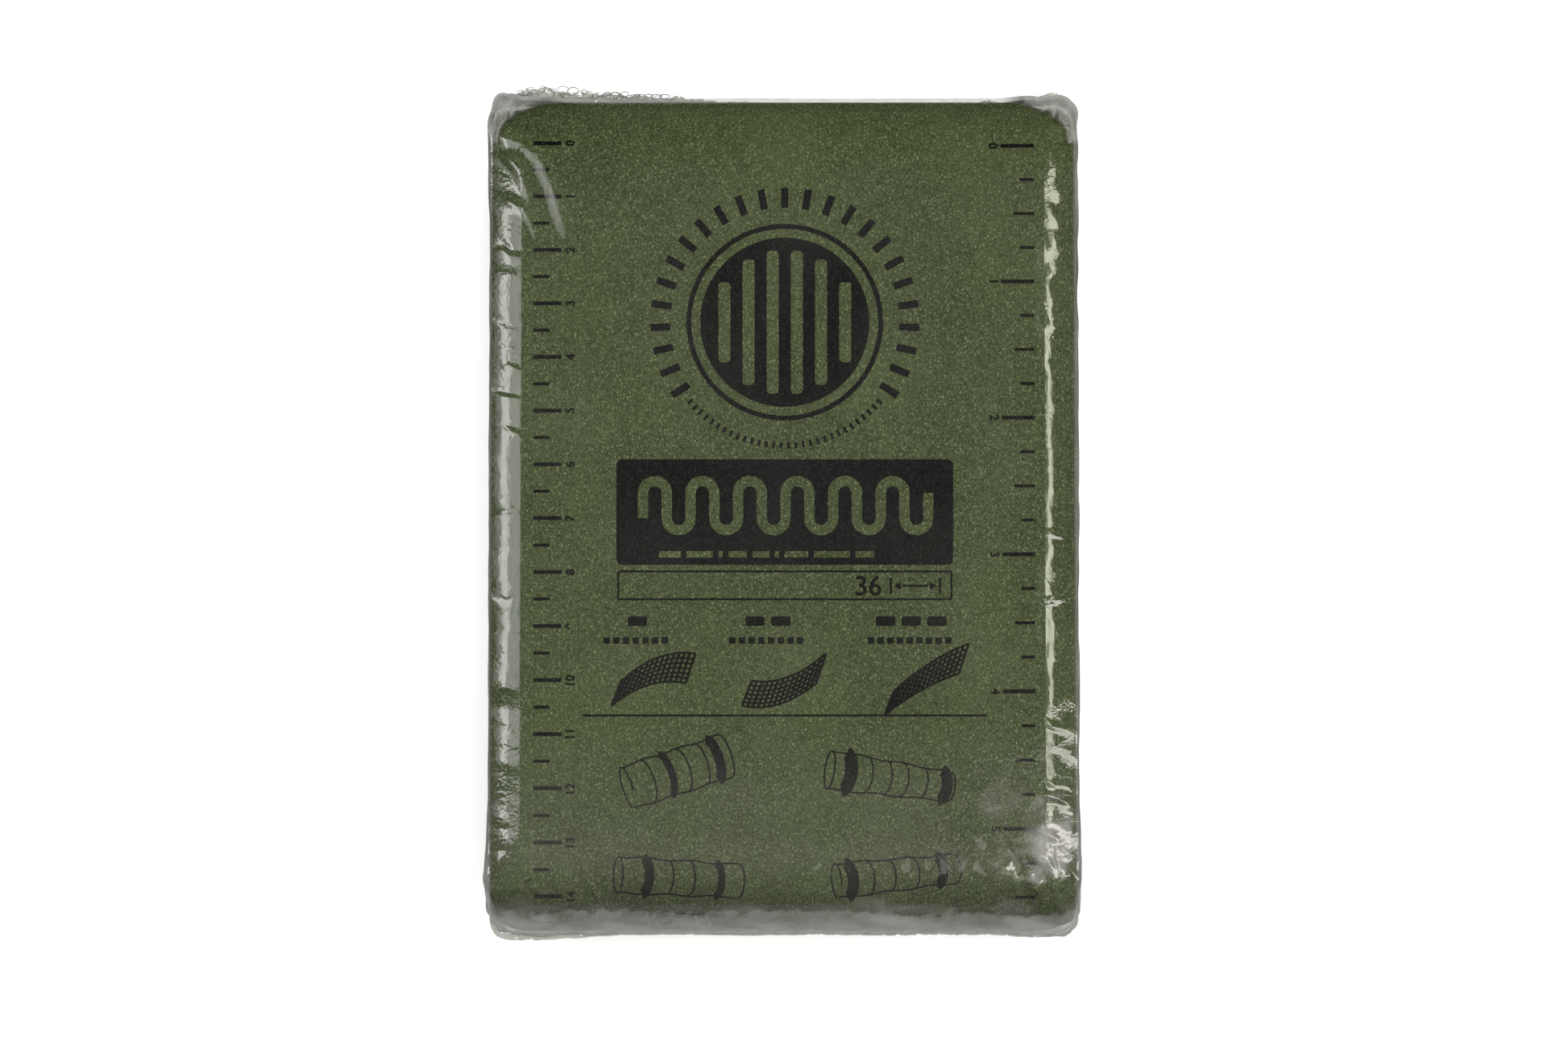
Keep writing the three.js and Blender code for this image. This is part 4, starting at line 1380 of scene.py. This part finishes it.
# Loose loops of thread past the free end: a tube along a trochoid
threads = {
    "fromTo": (614, 836),       # picture pixels
    "steps": 2600, "sides": 6,
    "radius": 0.000075,
    "strands": ((71, 12.5, 0.62, 0.88), (81, 8.5, 0.42, 1.0)),      # seed, spacing, out, swing
    "least": 0.55, "most": 1.6,     # the spacing stays between these shares of its mean
    "swing": 0.0001, "reach": 0.20, "rise": 0.0004,
    # number added to the strand's seed, waves, wavelength in picture pixels, height
    "spacing": (0, 6, 60, 0.28), "loose": (1, 6, 45, 0.35),
    "level": (2, 6, 20, 0.0002), "uneven": (3, 6, 9, 0.3),
}


def lineRipple(at, row, seed=0):
    # a ripple along a line, at its height
    own, waves, length, height = row
    return height * ripple(at, 0 * at, seed + own, waves, length)


def freeEdge(pictureX):
    # width of the seal along the free end, in metres
    return mm * np.interp(pictureX, seal["freeX"], seal["freeWidth"])


def threadPiece():
    # all strands in one mesh
    strands = [threadStrand(*strand) for strand in threads["strands"]]
    points = np.concatenate([strand for strand, faces in strands])
    faces = [faces + place * len(strand) for place, (strand, faces) in enumerate(strands)]
    return newMesh("filmThreads", points + rollMiddle, np.concatenate(faces))


def threadStrand(seed, apart, out, swing):
    # one strand: x = s + a sin p, y = edge + b (1 - cos p), with p growing by one turn for
    # each loop spacing, in picture pixels, and b a share of the seal's width
    pixel = np.linspace(*threads["fromTo"], threads["steps"])
    spacing = apart * (1 + lineRipple(pixel, threads["spacing"], seed))
    spacing = np.clip(spacing, threads["least"] * apart, threads["most"] * apart)
    phase = 2 * math.pi * np.cumsum(np.gradient(pixel) / spacing)
    scale = (view["distance"] + halfHeight) / view["pixels"]
    s = (pixel - view["pictureWidth"] / 2) * scale + view["aimX"]
    base = filmExtents(np.array([seal["height"]]), film["lift"])[2][0]
    loose = 1 + lineRipple(pixel, threads["loose"], seed)
    x = s + threads["swing"] * apart * swing * loose * np.sin(phase)
    y = base + freeEdge(pixel) * (out + threads["reach"] * loose * (1 - np.cos(phase)))
    z = seal["height"] + threads["rise"] * np.sin(phase / 2)
    z += lineRipple(pixel, threads["level"], seed)
    line = np.stack([x, y, z], -1)
    ahead = np.gradient(line, axis=0)
    ahead /= np.linalg.norm(ahead, axis=1, keepdims=True)
    side = np.stack([-ahead[:, 1], ahead[:, 0], 0 * x], -1)
    side /= np.linalg.norm(side, axis=1, keepdims=True)
    up = np.cross(ahead, side)
    angle = np.linspace(0, 2 * math.pi, threads["sides"], endpoint=False)
    radius = threads["radius"] * (1 + lineRipple(pixel, threads["uneven"], seed))[:, None, None]
    ring = np.cos(angle)[None, :, None] * side[:, None] + np.sin(angle)[None, :, None] * up[:, None]
    points = line[:, None] + radius * ring
    index = numbered(points)
    triangles = [*halved(ringFaces(index[:-1], index[1:]))]
    for cap in (index[0][::-1], index[-1]):
        triangles.append(np.stack([np.full(len(cap) - 2, cap[0]), cap[1:-1], cap[2:]], -1))
    return points.reshape(-1, 3), np.concatenate(triangles)


def sealPiece():
    # a ribbon carried round the film's ring at the middle height: its width from the tables,
    # ruffled up and down by sines that grow towards the free edge
    ringPoints = filmPoints(np.array([seal["height"]]), np.ones(1), film["lift"])[0]
    outs = filmColumns()[1]
    closed = np.concatenate([ringPoints, ringPoints[:1]])
    outward = np.concatenate([outs, outs[:1]])
    run = np.concatenate([[0], np.cumsum(np.linalg.norm(np.diff(closed, axis=0), axis=1))])
    at = np.linspace(0, run[-1], seal["points"], endpoint=False)
    x, y = np.interp(at, run, closed[:, 0]), np.interp(at, run, closed[:, 1])
    ox, oy = np.interp(at, run, outward[:, 0]), np.interp(at, run, outward[:, 1])
    stand = standOff(x, y) * film["wallBulge"]
    x, y = x + ox * stand, y + oy * stand
    scale = view["pixels"] / (view["distance"] + halfHeight)
    pictureX = view["pictureWidth"] / 2 + (x - view["aimX"]) * scale
    low, high = seal["narrowX"]
    narrow = np.where((pictureX > low) & (pictureX < high), seal["narrow"], 1)
    free = np.interp(pictureX, seal["freeX"], seal["freeWidth"]) * narrow
    fold = np.interp(pictureX, seal["foldX"], seal["foldWidth"])
    side = np.where(ox < 0, seal["left"], seal["right"])
    end = oy * oy
    width = mm * (np.where(oy > 0, free, fold) * end + side * (1 - end))
    width = width * (1 + lineRipple(at, seal["waver"]) + lineRipple(at, seal["fineWaver"]))
    share = np.linspace(seal["root"], 1, seal["across"])[None, :]
    grow = np.clip(share, 0, 1)
    seed, waves, length, height = seal["fineRuffle"]
    shifted = height * ripple(at[:, None], share * seal["ruffleShift"], seed, waves, length)
    ruffle = seal["ruffle"] * width[:, None] * grow * (
        lineRipple(at, seal["broadRuffle"])[:, None] + shifted)
    out = width[:, None] * share
    px, py = x[:, None] + ox[:, None] * out, y[:, None] + oy[:, None] * out
    pz, half = seal["height"] + ruffle, seal["thick"] / 2
    upper, lower = (np.stack([px, py, level], -1) for level in (pz + half, pz - half))
    points = np.concatenate([upper, lower[:, ::-1]], 1)
    index = numbered(points)
    faces = ringFaces(index, np.roll(index, -1, 0))
    piece = newMesh("filmSeal", points.reshape(-1, 3) + rollMiddle, faces[:, ::-1])
    edge = np.broadcast_to(np.concatenate([grow, grow[:, ::-1]], 1), index.shape)
    setAttribute(piece, "edge", edge)
    return piece


filmSeal = sealPiece()
filmSeal.data.materials.append(
    filmMaterial("sealFilm", filmLook["sealHaze"], filmLook["extraSeal"], lace=True))
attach(filmSeal, "root")
filmThreads = threadPiece()
filmThreads.data.materials.append(
    filmMaterial("threadFilm", filmLook["hazeAndPaintedGlare"], filmLook["extraThread"]))
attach(filmThreads, "root")
print("stage: seal", len(filmSeal.data.polygons), len(filmThreads.data.polygons))


# Floor and light
studio = {
    "floor": (0.94, 0.94, 0.94, 1), "roughness": 0.9,
    "reach": 3.0,           # half the floor's width
    "world": 0.14,
}
# lamps: place from the roll's middle and size in metres, radiance, tint, seen in the gloss
lamps = {
    "leftWide": ((-0.42, 0.045, 0.60), (0.40, 0.236), 2.6, (1, 1, 1), True),
    "leftBox": ((-0.41, 0.045, 0.59), (0.24, 0.232), 2.6, (1, 1, 1), True),
    "leftCore": ((-0.485, 0.045, 0.55), (0.09, 0.230), 8.0, (1, 0.99, 0.95), True),
    "rightStrip": ((0.300, 0.050, 0.60), (0.085, 0.235), 14.0, (1, 1, 0.80), True),
    "rightGlow": ((0.225, 0.050, 0.62), (0.13, 0.25), 0.8, (1, 1, 0.95), True),
    "rightLow": ((0.44, -0.145, 0.58), (0.42, 0.115), 13.0, (1, 0.98, 0.92), True),
    "nearRight": ((0.21, -0.225, 0.62), (0.28, 0.27), 2.2, (1, 1, 0.97), True),
    "fill": ((0.0, 0.0, 1.1), (1.2, 1.2), 2.5, (1, 1, 1), False),
    "farFill": ((0.0, 0.9, 0.75), (1.0, 0.7), 4.2, (1, 1, 1), False),
    "nearFill": ((0.0, -0.9, 0.75), (1.0, 0.7), 1.6, (1, 1, 1), False),
}


def addLight(name, place, size, radiance, tint, gloss):
    # an area lamp that looks at the roll; its power is pi times radiance times area
    data = bpy.data.lights.new(name, "AREA")
    data.shape = "RECTANGLE"
    data.size, data.size_y = size
    data.color = tint
    data.energy = radiance * math.pi * size[0] * size[1]
    lamp = bpy.data.objects.new(name, data)
    lamp.location = rollMiddle + np.array(place)
    out = Vector(place).normalized()
    side = Vector((0, 1, 0)).cross(out).normalized()
    lamp.rotation_euler = Matrix((side, out.cross(side), out)).transposed().to_euler()
    lamp.visible_glossy = gloss
    bpy.context.scene.collection.objects.link(lamp)


def addStudio():
    # a pale floor under the pack, an even dim world and the lamps
    reach = studio["reach"]
    ways = ((-1, -1), (1, -1), (1, 1), (-1, 1))
    corners = [(x * reach, y * reach, cadBox[0][2]) for x, y in ways]
    floor = newMesh("floor", corners, np.array([[0, 1, 2, 3]]), smooth=False)
    made, tree = material("floorPaint")
    paintWith(tree, node(tree, "ShaderNodeBsdfPrincipled", {
        "Base Color": studio["floor"], "Roughness": studio["roughness"]}))
    floor.data.materials.append(made)
    world = bpy.data.worlds.new("studio")
    world.use_nodes = True
    world.node_tree.nodes["Background"].inputs[1].default_value = studio["world"]
    bpy.context.scene.world = world
    for name, settings in lamps.items():
        addLight(name, *settings)


addStudio()
bpy.context.scene.view_settings.view_transform = "Standard"
print("stage: studio")
